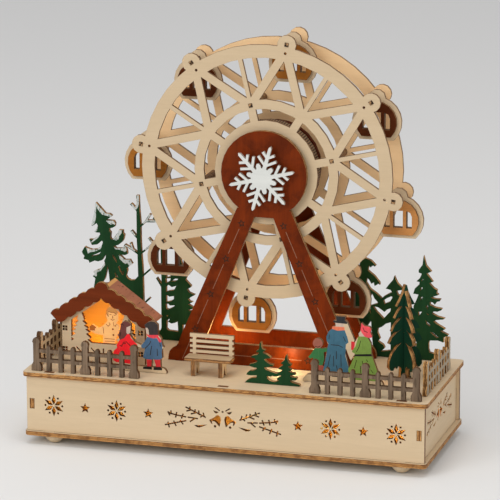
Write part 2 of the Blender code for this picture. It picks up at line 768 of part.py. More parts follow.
def hub(parent):
    """Axle and drum, with a deep front flange, turned in one and running in both stand frames."""
    front_end = STAND_FRONT_Y + 0.6
    back_end = STAND_BACK_Y + PLY + 1.4
    drum_front = FRONT_DISC_Y + THIN_PLY + GAP
    drum_back = BACK_DISC_Y - GAP
    front_flange = drum_front + DRUM_FLANGE
    back_flange = drum_back - DRUM_BACK_FLANGE
    profile = [(AXLE_RADIUS, front_end), (AXLE_RADIUS, drum_front), (DRUM_RADIUS, drum_front),
               (DRUM_RADIUS, front_flange), (DRUM_CORE, front_flange), (DRUM_CORE, back_flange),
               (DRUM_BACK_RADIUS, back_flange), (DRUM_BACK_RADIUS, drum_back),
               (AXLE_RADIUS, drum_back), (AXLE_RADIUS, back_end)]
    lathe("hub", profile, 24, GREY_PLASTIC, (0, 0, 0), (-math.pi / 2, 0, 0), parent)


def wheel():
    """The axis of the wheel lies along Y through this empty."""
    axis = empty("wheel_axis", (WHEEL_X, 0, WHEEL_Z))
    hub(axis)
    wheel_disc_front(axis)
    wheel_disc_back(axis)
    return axis


# ---------------------------------------------------------------- gondolas


def cabin(radius, floor, steps):
    """A round cabin outline cut off flat at its floor."""
    angle = math.degrees(math.asin((floor + GONDOLA_DROP) / radius))
    return arc(0, -GONDOLA_DROP, radius, angle, 180 - angle, steps)


def cabin_windows():
    """Three windows; the outer two are rounded at their outer top corner."""
    sill = -28.3
    head = -12.4
    round_off = 5.3
    side = [(7.6, sill), (12.9, sill)]
    side += arc(12.9 - round_off, head - round_off, round_off, 0, 90, 2)
    middle = rect(-4.5, sill, 4.5, head)
    return [cut(middle), cut(side), cut(mirrored(side))]


def gondolas():
    """Eight gondolas, each hanging from an empty on its own bar."""
    plate = [add(cabin(GONDOLA_RADIUS, GONDOLA_FLOOR, 16))]
    plate.append(add(circle(0, 0, GONDOLA_HANGER, 10)))
    plate += cabin_windows()
    plate.append(cut(circle(0, 0, GONDOLA_HOLE, 6)))
    panel = [add(cabin(GONDOLA_PANEL_RADIUS, GONDOLA_PANEL_FLOOR, 14))] + cabin_windows()
    panel.append(cut(circle(0, 0, GONDOLA_HOLE + 1.5, 6)))
    for i in range(ARMS):
        u, v = polar(LOBE_CENTRE, LOBE_TURN - 45 * i)
        axis = empty(f"gondola_axis_{i + 1}", (WHEEL_X + u, 0, WHEEL_Z + v))
        across(f"gondola_{i + 1}", plate, GONDOLA_Y, PALE_PLY, THIN_PLY, z=0, parent=axis)
        stain = DARK_BROWN if i % 2 else ORANGE_BROWN
        across(f"gondola_panel_{i + 1}", panel, GONDOLA_Y - THIN_PLY - GAP, stain, THIN_PLY,
               z=0, parent=axis)


# ---------------------------------------------------------------- hut


def gable():
    """The gable outline; the apex follows from the eave and the slope."""
    apex = HUT_EAVE + HUT_HALF * HUT_SLOPE
    return both_sides([(HUT_HALF, 0.0), (HUT_HALF, HUT_EAVE), (0.0, apex)])


def hut_front():
    """A wide opening with a fir left standing at each side of it."""
    sill = 17.3
    half = 31.0
    head = 38.0
    apex = head + half * HUT_SLOPE
    fir = [(10.7, sill - 1.5), (10.7, sill - 0.1), (6.4, 20.0), (9.6, 21.8), (5.0, 25.7),
           (8.4, 27.2), (4.4, 30.0), (7.2, 30.8), (3.2, 33.5), (5.4, 34.9), (1.7, 37.7),
           (3.6, 39.0), (0.6, 47.0)]
    fir_x = -21.9
    pane = 2.1
    steps = [add(gable())]
    steps.append(cut(both_sides([(half, sill), (half, head), (0.0, apex)])))
    left = moved(both_sides(fir), fir_x, 0)
    steps += [add(left), add(mirrored(left))]
    for x, v in ((-37.1, 29.9), (-37.1, 10.0), (36.1, 30.4), (36.1, 10.1)):
        steps.append(cut(rect(x - pane, v - pane, x + pane, v + pane)))
    steps.append(cut(rect(-0.6, 8.1, 0.6, 12.9)))
    for x in (-24.0, -9.9):
        ray = bar((x - 2.2, 12.7), (x + 2.2, 8.2), 1.1)
        steps += [cut(ray), cut(mirrored(ray))]
    across("hut_front", steps, HUT_FRONT_Y, PALE_PLY, x=HUT_X)


def hut_walls():
    across("hut_back", [add(gable())], HUT_BACK_Y, PALE_PLY, x=HUT_X)
    front = HUT_FRONT_Y + PLY + GAP
    side = [add(rect(front, 0.0, HUT_BACK_Y - GAP, HUT_EAVE - GAP))]
    along("hut_side_left", side, HUT_X - HUT_HALF, PALE_PLY)
    along("hut_side_right", side, HUT_X + HUT_HALF - PLY, PALE_PLY)


def hut_roof():
    """Two roof planes that meet at the ridge, behind the bargeboard."""
    depth = HUT_BACK_Y + PLY - HUT_FRONT_Y
    angle = math.atan(HUT_SLOPE)
    lift = HUT_EAVE + HUT_HALF * HUT_SLOPE + GAP / math.cos(angle)
    ridge = GAP / 2
    low = lift - ridge * HUT_SLOPE
    eave = lift - ROOF_REACH * HUT_SLOPE
    top = ROOF_THICK / math.cos(angle)
    right = [(ridge, low), (ROOF_REACH, eave),
             (ROOF_REACH + ROOF_THICK * math.sin(angle), eave + ROOF_THICK * math.cos(angle)),
             (ridge, low + top)]
    across("hut_roof_right", [add(right)], HUT_FRONT_Y, MAUVE_BROWN, thickness=depth, x=HUT_X)
    across("hut_roof_left", [add(mirrored(right))], HUT_FRONT_Y, MAUVE_BROWN, thickness=depth,
           x=HUT_X)


def hut_bargeboard():
    """A board scalloped along both edges that covers the roof's front end."""
    upper = [(49.6, 44.0), (41.3, 48.4), (32.7, 54.9), (24.0, 60.6), (15.3, 66.0), (6.5, 70.6)]
    lower = [(0.0, 62.5), (7.9, 57.6), (16.4, 52.9), (24.4, 47.5), (33.4, 41.6), (42.3, 36.3)]
    right_upper = scallops(upper, 1.9)
    right_lower = scallops(lower, 1.9)
    top = arc(0, 70.6, 6.5, 0, 180, 8)
    outline = right_lower + [lower[-1]] + right_upper + top
    outline += mirrored(right_upper) + mirrored([lower[-1]]) + mirrored(right_lower)[:-1]
    across("hut_bargeboard", [add(outline)], HUT_FRONT_Y - GAP - PLY, RED_BROWN, x=HUT_X)


def hut_seller():
    """A waving stallholder behind the counter."""
    outline = [(-3.1, 0.0), (8.6, 0.0), (8.6, 16.1), (9.6, 20.8), (12.8, 29.0), (13.4, 32.7),
               (10.4, 36.1), (12.2, 38.7), (12.2, 46.0), (9.8, 49.3), (7.3, 50.6), (3.6, 51.4),
               (1.1, 47.6), (0.4, 42.7), (2.2, 37.9), (-2.9, 32.1), (-7.2, 29.9), (-10.3, 31.5),
               (-13.1, 33.1), (-15.9, 30.5), (-15.3, 26.8), (-9.8, 24.2), (-2.4, 23.6)]
    across("hut_seller", [add(outline)], -17.5, PALE_PLY, thickness=THIN_PLY, x=HUT_X)


# ---------------------------------------------------------------- fences and bench


def fence_steps(posts, gaps=4):
    """Ball topped posts with round topped pickets between them on two rails."""
    top = 31.3
    ball = 3.7
    neck = 2.9
    flare = 4.75
    picket = 2.0
    picket_top = 24.5
    rail = 1.6
    steps = []
    for v in (10.0, 19.0):
        steps.append(add(rect(posts[0], v - rail, posts[-1], v + rail)))
    for start, end in zip(posts, posts[1:]):
        for i in range(1, gaps):
            u = start + (end - start) * i / gaps
            outline = [(u - picket, 0.0), (u + picket, 0.0)]
            outline += arc(u, picket_top - picket, picket, 0, 180, 3)
            steps.append(add(outline))
    for u in posts:
        steps.append(add(circle(u, top - ball, ball, 8)))
        side = [(flare, 0.0), (flare, 4.4), (neck, 8.4), (neck, top - ball - 1.0)]
        steps.append(add(moved(both_sides(side), u, 0)))
    return steps


def fences():
    corner = BOARD_LENGTH / 2 - FENCE_CORNER
    posts = [corner - FENCE_BAY * i for i in (2, 1, 0)]
    across("fence_front_right", fence_steps(posts), FENCE_FRONT_Y, GREY_STAIN)
    posts = [-x for x in reversed(posts)]
    across("fence_front_left", fence_steps(posts), FENCE_FRONT_Y, GREY_STAIN)
    end = fence_steps([FENCE_FRONT_Y + FENCE_RETURN + FENCE_END_BAY * i for i in range(3)])
    along("fence_end_right", end, FENCE_END_X, GREY_STAIN)
    along("fence_end_left", end, -FENCE_END_X - PLY, GREY_STAIN)


def bench():
    """A slatted bench: seat board on two legs, back board behind the seat."""
    seat_low = 14.0
    left = -43.4
    right = -0.2
    seat = [add(rect(left, BENCH_Y, right, BENCH_Y + 15.1))]
    board("bench_seat", seat, BOARD_TOP + seat_low + GAP, PALE_PLY, thickness=THIN_PLY)
    back = []
    for low, high in ((18.1, 20.8), (23.0, 25.4), (27.8, 30.5), (32.6, 36.2)):
        back.append(add(rect(left + 0.8, low, right - 0.8, high)))
    for x in (left + 5.0, right - 3.8):
        back.append(add(rect(x - 1.6, 11.0, x + 1.6, 36.2)))
    across("bench_back", back, BENCH_Y + 15.4, PALE_PLY, thickness=THIN_PLY)
    leg = [add(rect(-7.0, 0.0, 7.0, seat_low - GAP)), cut([(-3.6, -1.0), (3.6, -1.0), (0.0, 9.5)])]
    along("bench_leg_left", leg, left + 5.9, PALE_PLY, thickness=3.9, y=BENCH_Y + 8.0)
    along("bench_leg_right", leg, right - 11.3, PALE_PLY, thickness=3.9, y=BENCH_Y + 8.0)


# ---------------------------------------------------------------- trees


def firs_small():
    outline = [(15.8, 0.0), (20.1, 3.9), (26.2, 7.2), (17.0, 8.0), (26.9, 13.9), (19.8, 16.7),
               (27.2, 21.6), (21.5, 24.0), (28.8, 28.4), (26.5, 30.1), (30.5, 39.0), (31.2, 34.8),
               (34.3, 31.9), (32.4, 29.6), (39.7, 24.6), (33.8, 22.6), (42.1, 17.9), (33.6, 15.6),
               (44.7, 10.9), (50.1, 14.0), (46.8, 15.1), (51.1, 19.3), (49.0, 20.3), (51.8, 23.4),
               (54.0, 28.5), (54.9, 23.6), (58.4, 19.3), (55.8, 18.4), (59.1, 14.8), (56.5, 13.2),
               (62.2, 11.3), (58.2, 9.8), (63.9, 6.8), (58.0, 4.5), (66.7, 1.1), (66.0, 0.0)]
    hollow = [(35.7, 7.6), (41.4, 8.3), (49.9, 8.7), (45.6, 5.8), (47.8, 4.0), (44.7, 2.8),
              (38.1, 4.7)]
    across("firs_small", [add(outline), cut(hollow)], -51.3, DARK_GREEN)


def big_fir_side():
    """Right side of the big fir: drooping boughs that end in fingers."""
    return [(7.0, 0.0), (5.2, 4.0), (4.6, 12.0), (7.5, 14.5), (9.0, 11.5), (11.0, 14.0),
            (13.0, 10.5), (15.2, 10.8), (17.4, 13.5), (17.0, 19.5), (14.0, 26.5), (8.4, 33.0),
            (4.2, 36.0), (9.5, 34.6), (13.5, 34.4), (17.4, 36.2), (14.6, 41.5), (9.5, 46.0),
            (4.2, 48.6), (9.5, 46.6), (14.7, 47.2), (12.0, 52.5), (8.0, 56.5), (4.0, 60.0),
            (11.6, 59.2), (8.6, 64.6), (4.0, 70.0), (9.4, 70.0), (5.6, 76.5), (2.6, 82.5),
            (0.8, 89.0)]


def big_fir():
    """Two crossed panels with slots that fit into each other at half height."""
    middle = 45.0
    half_slot = PLY / 2 + GAP
    outline = both_sides(big_fir_side())
    slot_low = rect(-half_slot, -1.0, half_slot, middle + GAP / 2)
    slot_high = rect(-half_slot, middle - GAP / 2, half_slot, 95.0)
    for name, angle, slot in (("fir_big_a", 45, slot_low), ("fir_big_b", -45, slot_high)):
        verts, faces = relief([add(outline), cut(slot)], PLY)
        turn = math.radians(angle)
        back_x = FIR_X - PLY / 2 * math.sin(turn)
        back_y = FIR_Y + PLY / 2 * math.cos(turn)
        finish_object(name, verts, faces, DARK_GREEN, (back_x, back_y, STAND_ON),
                      (math.pi / 2, 0, turn))


def trees_left():
    """Snowy fir, two bare trees and a dark fir on one ground strip."""
    snow_fir = [(13.0, 4.0), (12.4, 47.4), (11.6, 57.5), (11.6, 62.1), (23.0, 72.1),
                (24.1, 79.0), (8.4, 70.5), (0.9, 79.7), (3.3, 84.5), (20.5, 87.5),
                (21.9, 91.3), (12.0, 87.8), (8.2, 92.6), (18.6, 99.3), (13.0, 100.3),
                (16.8, 106.6), (15.4, 109.2), (9.7, 106.1), (13.7, 119.2),
                (14.7, 128.4), (21.7, 118.8), (30.2, 117.1), (24.9, 112.5),
                (33.4, 109.5), (27.7, 105.1), (30.5, 100.7), (31.8, 93.8),
                (38.5, 103.9), (42.7, 99.6), (35.5, 89.9), (32.7, 86.0),
                (43.1, 87.7), (45.8, 82.8), (37.3, 78.1), (48.1, 75.6),
                (50.5, 72.6), (45.6, 64.4), (46.5, 56.7), (52.2, 56.6),
                (55.5, 60.5), (56.0, 40.0), (38.0, 36.0), (32.0, 4.0)]
    steps = [add(rect(0.0, 0.0, 112.0, 8.0)), add(snow_fir)]
    steps.append(add([(53.5, 4.0), (61.0, 4.0), (59.3, 60.0), (56.8, 138.7),
                      (55.4, 138.7), (55.0, 60.0)]))
    twigs = (((56.0, 124.0), (49.7, 130.0), 1.6), ((56.4, 96.0), (49.4, 103.3), 1.8),
             ((56.0, 84.0), (48.3, 91.8), 1.8), ((56.6, 108.5), (67.5, 120.7), 2.4),
             ((63.4, 116.0), (73.6, 116.5), 2.0), ((57.4, 80.0), (68.5, 94.5), 2.6),
             ((64.6, 89.6), (74.3, 93.1), 2.0), ((58.4, 58.0), (67.9, 67.4), 2.2),
             ((59.0, 33.0), (66.6, 39.1), 1.8))
    for start, end, width in twigs:
        steps.append(add(bar(start, end, width)))
    steps.append(add([(78.4, 4.0), (83.0, 4.0), (82.4, 60.0), (79.1, 106.0), (78.0, 106.0),
                      (79.0, 60.0)]))
    steps.append(add(bar((80.0, 52.0), (73.9, 59.6), 1.8)))
    steps.append(add(bar((81.4, 53.5), (90.0, 61.1), 1.8)))
    fir = [(2.1, 4.0), (2.1, 18.0), (6.5, 18.5), (9.5, 17.4), (12.6, 20.5), (11.6, 26.5),
           (13.5, 32.6), (10.0, 36.0), (13.6, 39.5), (8.4, 44.6), (15.1, 46.5), (8.0, 53.8),
           (11.9, 55.5), (6.2, 63.0), (8.8, 65.0), (3.8, 73.0), (0.5, 87.0)]
    steps.append(add(moved(both_sides(fir), 96.0, 0)))
    across("trees_left", steps, TREES_Y, DARK_GREEN, x=TREES_LEFT_X)


def trees_right():
    """Four firs of different heights on one ground strip."""
    right_fir = [(60.5, 4.0), (61.0, 18.0), (55.0, 21.0), (53.5, 27.0), (57.0, 33.0),
                 (51.6, 40.0), (57.5, 45.0), (53.0, 52.0), (57.5, 57.5), (59.1, 67.5),
                 (64.0, 72.2), (60.8, 75.1), (62.4, 84.2), (65.7, 91.9), (67.5, 99.4),
                 (69.8, 93.0), (75.1, 85.1), (71.0, 82.0), (76.3, 75.3), (72.6, 72.6),
                 (81.6, 63.4), (73.5, 60.7), (83.7, 58.6), (74.7, 54.7), (85.3, 49.7),
                 (75.1, 46.5), (87.4, 41.2), (75.5, 37.4), (88.2, 31.3), (90.7, 25.3),
                 (86.2, 18.0), (72.2, 19.5), (72.6, 4.0)]
    middle_fir = [(41.1, 4.0), (41.1, 33.0), (50.0, 36.0), (54.5, 42.0), (47.0, 46.0),
                  (55.5, 52.0), (45.5, 55.5), (51.0, 60.0), (42.0, 63.8), (46.9, 65.4),
                  (39.9, 78.1), (31.3, 66.8), (37.4, 64.3), (28.8, 56.3), (37.8, 59.0),
                  (37.8, 51.0), (28.5, 49.5), (23.5, 44.0), (31.0, 42.0), (36.6, 46.5),
                  (36.6, 38.0), (23.0, 36.0), (23.9, 33.0), (36.6, 33.0), (36.6, 4.0)]
    tall_fir = [(2.1, 4.0), (2.1, 16.0), (8.0, 14.0), (13.5, 18.0), (12.0, 26.0), (18.7, 37.4),
                (11.5, 42.5), (17.5, 56.6), (9.0, 60.5), (15.5, 69.2), (7.5, 76.0), (11.8, 86.3),
                (4.5, 91.0), (7.3, 99.0), (0.6, 106.0)]
    small_fir = [(1.5, 4.0), (1.5, 8.5), (6.6, 10.2), (2.6, 15.5), (4.2, 17.6), (0.6, 30.3)]
    steps = [add(rect(0.0, 0.0, 77.1, 6.0)), add(right_fir), add(middle_fir)]
    steps.append(add(moved(both_sides(tall_fir), 10.5, 0)))
    steps.append(add(moved(both_sides(small_fir), 23.1, 0)))
    across("trees_right", steps, TREES_Y, DARK_GREEN, x=TREES_RIGHT_X)


# ---------------------------------------------------------------- figures


def ground_strip(left, right, height):
    """The low strip that a group of figures stands on, rounded at its ends."""
    radius = height - 0.6
    points = [(left, 0.0), (right, 0.0)]
    points += arc(right - radius, 0.6, radius, 0, 90, 4)
    return points + arc(left + radius, 0.6, radius, 90, 180, 4)


def children():
    """A girl in a coat and a boy in a cap who hold hands."""
    girl = [(-112.0, 2.0), (-111.7, 14.3), (-110.6, 18.5), (-107.7, 21.5), (-108.5, 23.1),
            (-105.1, 29.0), (-106.7, 32.6), (-104.8, 38.0), (-104.1, 43.7), (-101.0, 46.6),
            (-96.9, 46.1), (-94.1, 44.1), (-94.5, 41.6), (-95.0, 36.3), (-96.2, 35.0),
            (-90.6, 27.3), (-84.9, 25.4), (-84.4, 22.9), (-89.0, 23.6), (-94.8, 21.3),
            (-94.9, 2.0)]
    boy = [(-82.5, 2.6), (-82.5, 4.9), (-79.2, 5.7), (-79.7, 12.4), (-83.0, 13.4), (-80.8, 23.2),
           (-83.1, 22.2), (-85.6, 24.6), (-81.2, 28.9), (-78.9, 33.9), (-79.3, 35.9),
           (-80.4, 42.3), (-81.4, 44.6), (-78.1, 47.3), (-74.9, 48.5), (-71.6, 48.0),
           (-68.6, 45.6), (-68.5, 36.3), (-65.6, 33.3), (-64.5, 26.6), (-62.9, 24.3),
           (-64.7, 22.9), (-65.0, 20.0), (-64.6, 14.4), (-66.4, 13.5), (-66.3, 6.4),
           (-65.5, 3.4), (-66.4, 2.6), (-72.6, 2.6), (-72.6, 5.3), (-70.6, 6.0), (-72.4, 12.8),
           (-74.6, 12.6), (-75.1, 6.1), (-74.6, 2.6)]
    steps = [add(ground_strip(-116.0, -60.6, 5.2)), add(girl), add(boy)]
    across("children", steps, -45.0, PALE_PLY)


def family():
    """A child, a man in a top hat and a lady in a wide hat."""
    child = [(9.3, 4.0), (9.6, 22.8), (6.9, 21.4), (4.8, 23.0), (7.5, 26.2), (10.5, 30.8),
             (12.8, 33.0), (15.4, 33.2), (17.3, 31.8), (23.8, 33.0), (23.8, 29.8), (19.4, 28.6),
             (20.0, 21.8), (18.3, 16.3), (19.8, 15.0), (19.8, 4.0)]
    man = [(27.2, 4.0), (27.8, 10.5), (19.2, 11.6), (23.6, 36.4), (22.1, 39.9), (21.9, 43.5),
           (24.1, 48.4), (27.1, 51.0), (27.4, 53.1), (30.6, 54.0), (30.3, 56.6), (28.2, 57.6),
           (28.5, 58.8), (31.2, 59.6), (30.9, 63.2), (39.6, 63.3), (38.9, 59.9), (41.0, 58.6),
           (48.1, 41.9), (46.1, 32.2), (48.5, 29.4), (45.0, 22.9), (43.8, 24.3),
           (40.2, 33.6), (39.6, 29.3), (43.8, 12.1), (41.4, 11.6), (41.2, 4.0)]
    lady = [(43.2, 4.0), (42.9, 15.3), (48.5, 27.7), (45.5, 31.5), (45.5, 40.2),
            (48.4, 40.2), (50.8, 44.5), (52.2, 46.1), (51.8, 48.7), (53.4, 50.7),
            (54.4, 58.7), (57.2, 56.0), (61.9, 55.5), (63.4, 53.2), (62.5, 50.2),
            (64.3, 47.0), (63.7, 45.5), (60.2, 45.2), (63.2, 40.1), (63.8, 30.1),
            (66.2, 23.1), (70.1, 12.7), (69.6, 4.0)]
    steps = [add(ground_strip(0.0, 75.2, 6.8)), add(child), add(circle(13.9, 36.4, 4.6, 16))]
    steps += [add(man), add(lady)]
    across("family", steps, -33.4, PALE_PLY, x=FAMILY_X)


# ---------------------------------------------------------------- lamps


def lamp(name, x, y):
    """A small warm lamp: a round holder with a domed bulb."""
    holder = 5.0
    bulb = 2.6
    shoulder = 4.0
    profile = [(holder, 0.0), (holder, 2.0), (3.4, 2.6), (3.4, shoulder), (bulb, shoulder)]
    steps = 3
    for i in range(steps + 1):
        angle = math.pi / 2 * i / steps
        radius = 0.0 if i == steps else bulb * math.cos(angle)
        profile.append((radius, shoulder + 4.0 + bulb * math.sin(angle)))
    lathe(name, profile, 8, WARM_LAMP, (x, y, STAND_ON))


def build():
    clear_scene()
    top_board()
    bottom_board()
    front_wall()
    back_wall()
    end_wall("end_wall_left", -END_WALL_FACE_X)
    end_wall("end_wall_right", END_WALL_FACE_X - PLY)
    feet()
    power_box()
    battery_cover()
    switch_slider()
    stand_frame("a_frame_front", STAND_FRONT_Y)
    stand_frame("a_frame_back", STAND_BACK_Y)
    snowflake()
    wheel()
    gondolas()
    hut_front()
    hut_walls()
    hut_roof()
    hut_bargeboard()
    hut_seller()
    fences()
    bench()
    firs_small()
    big_fir()
    trees_left()
    trees_right()
    children()
    family()
    lamp("lamp_wheel", WHEEL_X, STAND_FRONT_Y + 20.0)
    lamp("lamp_hut", HUT_X - 12.0, -4.0)


build()
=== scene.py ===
"""Looks of the light-up wooden ferris wheel: plywood, stains, paint, engraving and lamp light.

Lengths are in millimetres and become metres where an object is made. A flat plate that
carries paint, engraving or fine cut-outs is rebuilt in the plane of its CAD node, with one
set of faces for each colour; all other CAD nodes stay and get a procedural finish.
"""

import json
import math

import bpy
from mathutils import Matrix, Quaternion, Vector
from mathutils.geometry import delaunay_2d_cdt

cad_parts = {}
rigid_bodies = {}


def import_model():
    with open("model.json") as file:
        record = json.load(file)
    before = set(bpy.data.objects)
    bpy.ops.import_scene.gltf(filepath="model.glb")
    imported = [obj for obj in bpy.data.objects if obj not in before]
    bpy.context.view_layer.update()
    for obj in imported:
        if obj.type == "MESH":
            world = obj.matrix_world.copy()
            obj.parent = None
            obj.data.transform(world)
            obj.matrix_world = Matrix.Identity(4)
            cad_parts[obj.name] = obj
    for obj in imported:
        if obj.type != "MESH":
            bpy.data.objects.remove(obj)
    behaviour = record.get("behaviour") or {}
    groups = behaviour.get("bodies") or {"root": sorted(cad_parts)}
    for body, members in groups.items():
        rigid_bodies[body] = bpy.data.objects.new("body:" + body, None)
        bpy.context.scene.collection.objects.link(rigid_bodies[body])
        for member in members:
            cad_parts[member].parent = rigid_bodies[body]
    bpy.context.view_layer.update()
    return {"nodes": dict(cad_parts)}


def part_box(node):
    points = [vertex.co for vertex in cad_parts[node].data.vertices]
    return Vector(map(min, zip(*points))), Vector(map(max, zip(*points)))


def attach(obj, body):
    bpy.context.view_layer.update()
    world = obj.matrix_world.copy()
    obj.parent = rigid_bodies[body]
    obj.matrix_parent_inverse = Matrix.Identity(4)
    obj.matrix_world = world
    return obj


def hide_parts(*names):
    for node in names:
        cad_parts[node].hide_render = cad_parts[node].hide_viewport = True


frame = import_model()
NODES = frame["nodes"]

MM = 0.001
X, Y, Z = 0, 1, 2
ALONG_X = (1.0, 0.0, 0.0)
ALONG_Y = (0.0, 1.0, 0.0)
ALONG_Z = (0.0, 0.0, 1.0)


def box_mm(node):
    """The lowest and the highest corner of a node's box, in millimetres to a thousandth."""
    return [[round(c / MM, 3) for c in corner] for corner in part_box(node)]


def centre(node):
    """The middle of a node's box, in millimetres."""
    return [(low + high) / 2 for low, high in zip(*box_mm(node))]


BOARD_END, _, BOARD_TOP = box_mm("top_board")[1]
GLUE_LINE = 0.3
STAND_ON = BOARD_TOP + GLUE_LINE
WHEEL_X, _, WHEEL_Z = centre("hub")
HUT_X = centre("hut_front")[X]
HUT_ROOF_SLOPE = math.radians(36.0)
RAW_AT_RIDGE = 2.7          # raw end grain shows this far beside the ridge
DISC_FACE_Y = box_mm("wheel_disc_front")[0][Y]    # the bars' ends stand proud of this
DRUM_SHADE_FROM_Y = 26.0       # the drum is raw wood in front of this; behind it, its colour is painted shade
MOTIF_Z = BOARD_TOP - 31.0
END_MOTIF_Z = MOTIF_Z + 2.9
END_MOTIF_SCALE = 0.9
ROSETTES_X = (161.0, 100.6)
WALL_STARS_X = (70.4, 130.8)
WALL_STAR = (4.9, 2.2)      # outer and inner radius
TREES_RIGHT_X = BOARD_END - 104.0
TREES_RIGHT_LENGTH = 77.1

# boxes in the planes of the walls that hold all their cut-outs
FRONT_CUTS = (-176, 22, 176, 54)
END_CUTS = (-60, 22, 60, 54)

# widths of drawn lines
ENGRAVED_LINE = 0.6
CHILDREN_LINE = 0.7
CUT_TWIG = 1.25
BARE_TWIG = 1.7
SNOW_ON_TWIG = 1.3

# colours, linear red, green and blue
PLY_LIGHT = (0.655, 0.50, 0.32)
PLY_DARK = (0.625, 0.475, 0.30)
SCORCH = (0.020, 0.010, 0.005)
RED_BROWN = (0.172, 0.023, 0.0010)
BARGE_BROWN = (0.155, 0.028, 0.007)
ORANGE_BROWN = (0.37, 0.135, 0.022)
LIT_ORANGE_BROWN = (0.56, 0.245, 0.075)
DARK_BROWN = (0.092, 0.021, 0.005)
MAUVE_BROWN = (0.365, 0.144, 0.080)
GREY_BROWN = (0.200, 0.137, 0.090)
PALE_GREY = (0.40, 0.33, 0.24)
DARK_GREEN = (0.013, 0.052, 0.018)
BLUE_GREEN = (0.007, 0.038, 0.019)
SNOW_WHITE = (0.54, 0.58, 0.56)
WHITE_PAINT = (0.68, 0.69, 0.655)
LAMP_COLOUR = (1.0, 0.40, 0.065)
WHEEL_LAMP = (1.0, 0.58, 0.20)
FIR_LAMP = (1.0, 0.80, 0.42)
BASE_LAMP = (1.0, 0.52, 0.09)
HUT_LAMP = (1.0, 0.48, 0.065)

# paints of the figures
PAINTS = {
    "skin": (0.60, 0.46, 0.36),
    "hood": (0.150, 0.042, 0.034),
    "red_coat": (0.95, 0.016, 0.024),
    "cap": (0.040, 0.032, 0.030),
    "scarf": (0.76, 0.055, 0.075),
    "blue_coat": (0.070, 0.140, 0.235),
    "trousers": (0.66, 0.030, 0.036),
    "shoes": (0.014, 0.011, 0.010),
    "child_hair": (0.36, 0.120, 0.080),
    "jumper": (0.040, 0.180, 0.055),
    "brown_legs": (0.32, 0.070, 0.045),
    "hat": (0.026, 0.028, 0.030),
    "collar": (0.80, 0.20, 0.10),
    "teal_coat": (0.050, 0.142, 0.205),
    "pink_hat": (0.84, 0.085, 0.105),
    "green_dress": (0.190, 0.300, 0.056),
    "bag": (0.74, 0.035, 0.045),
}

# laser cut edges: the dark plies and the light ones
BURNT = (0.10, 0.045, 0.018), (0.34, 0.19, 0.085)
CHARRED = (0.060, 0.018, 0.005), (0.26, 0.085, 0.018)
BOARD_EDGE = (0.13, 0.045, 0.012), (0.64, 0.32, 0.10)
BENCH_EDGE = (0.10, 0.040, 0.015), (0.46, 0.23, 0.08)
STAINED_EDGE = (0.075, 0.028, 0.009), (0.60, 0.33, 0.12)
FENCE_EDGE = (0.060, 0.028, 0.012), (0.16, 0.080, 0.035)
PLIES_IN_A_METRE = 900.0
HALO_REACH = 0.5            # a sharp edge is darker this far in

# how a plate's face is told from its other faces
SQUARE_ON = 0.99
SAME_LEVEL = 0.01

# a Mix node of colours: its sockets for the two colours and the result
MIX_A, MIX_B, MIX_RESULT = 6, 7, 2


# shader helper


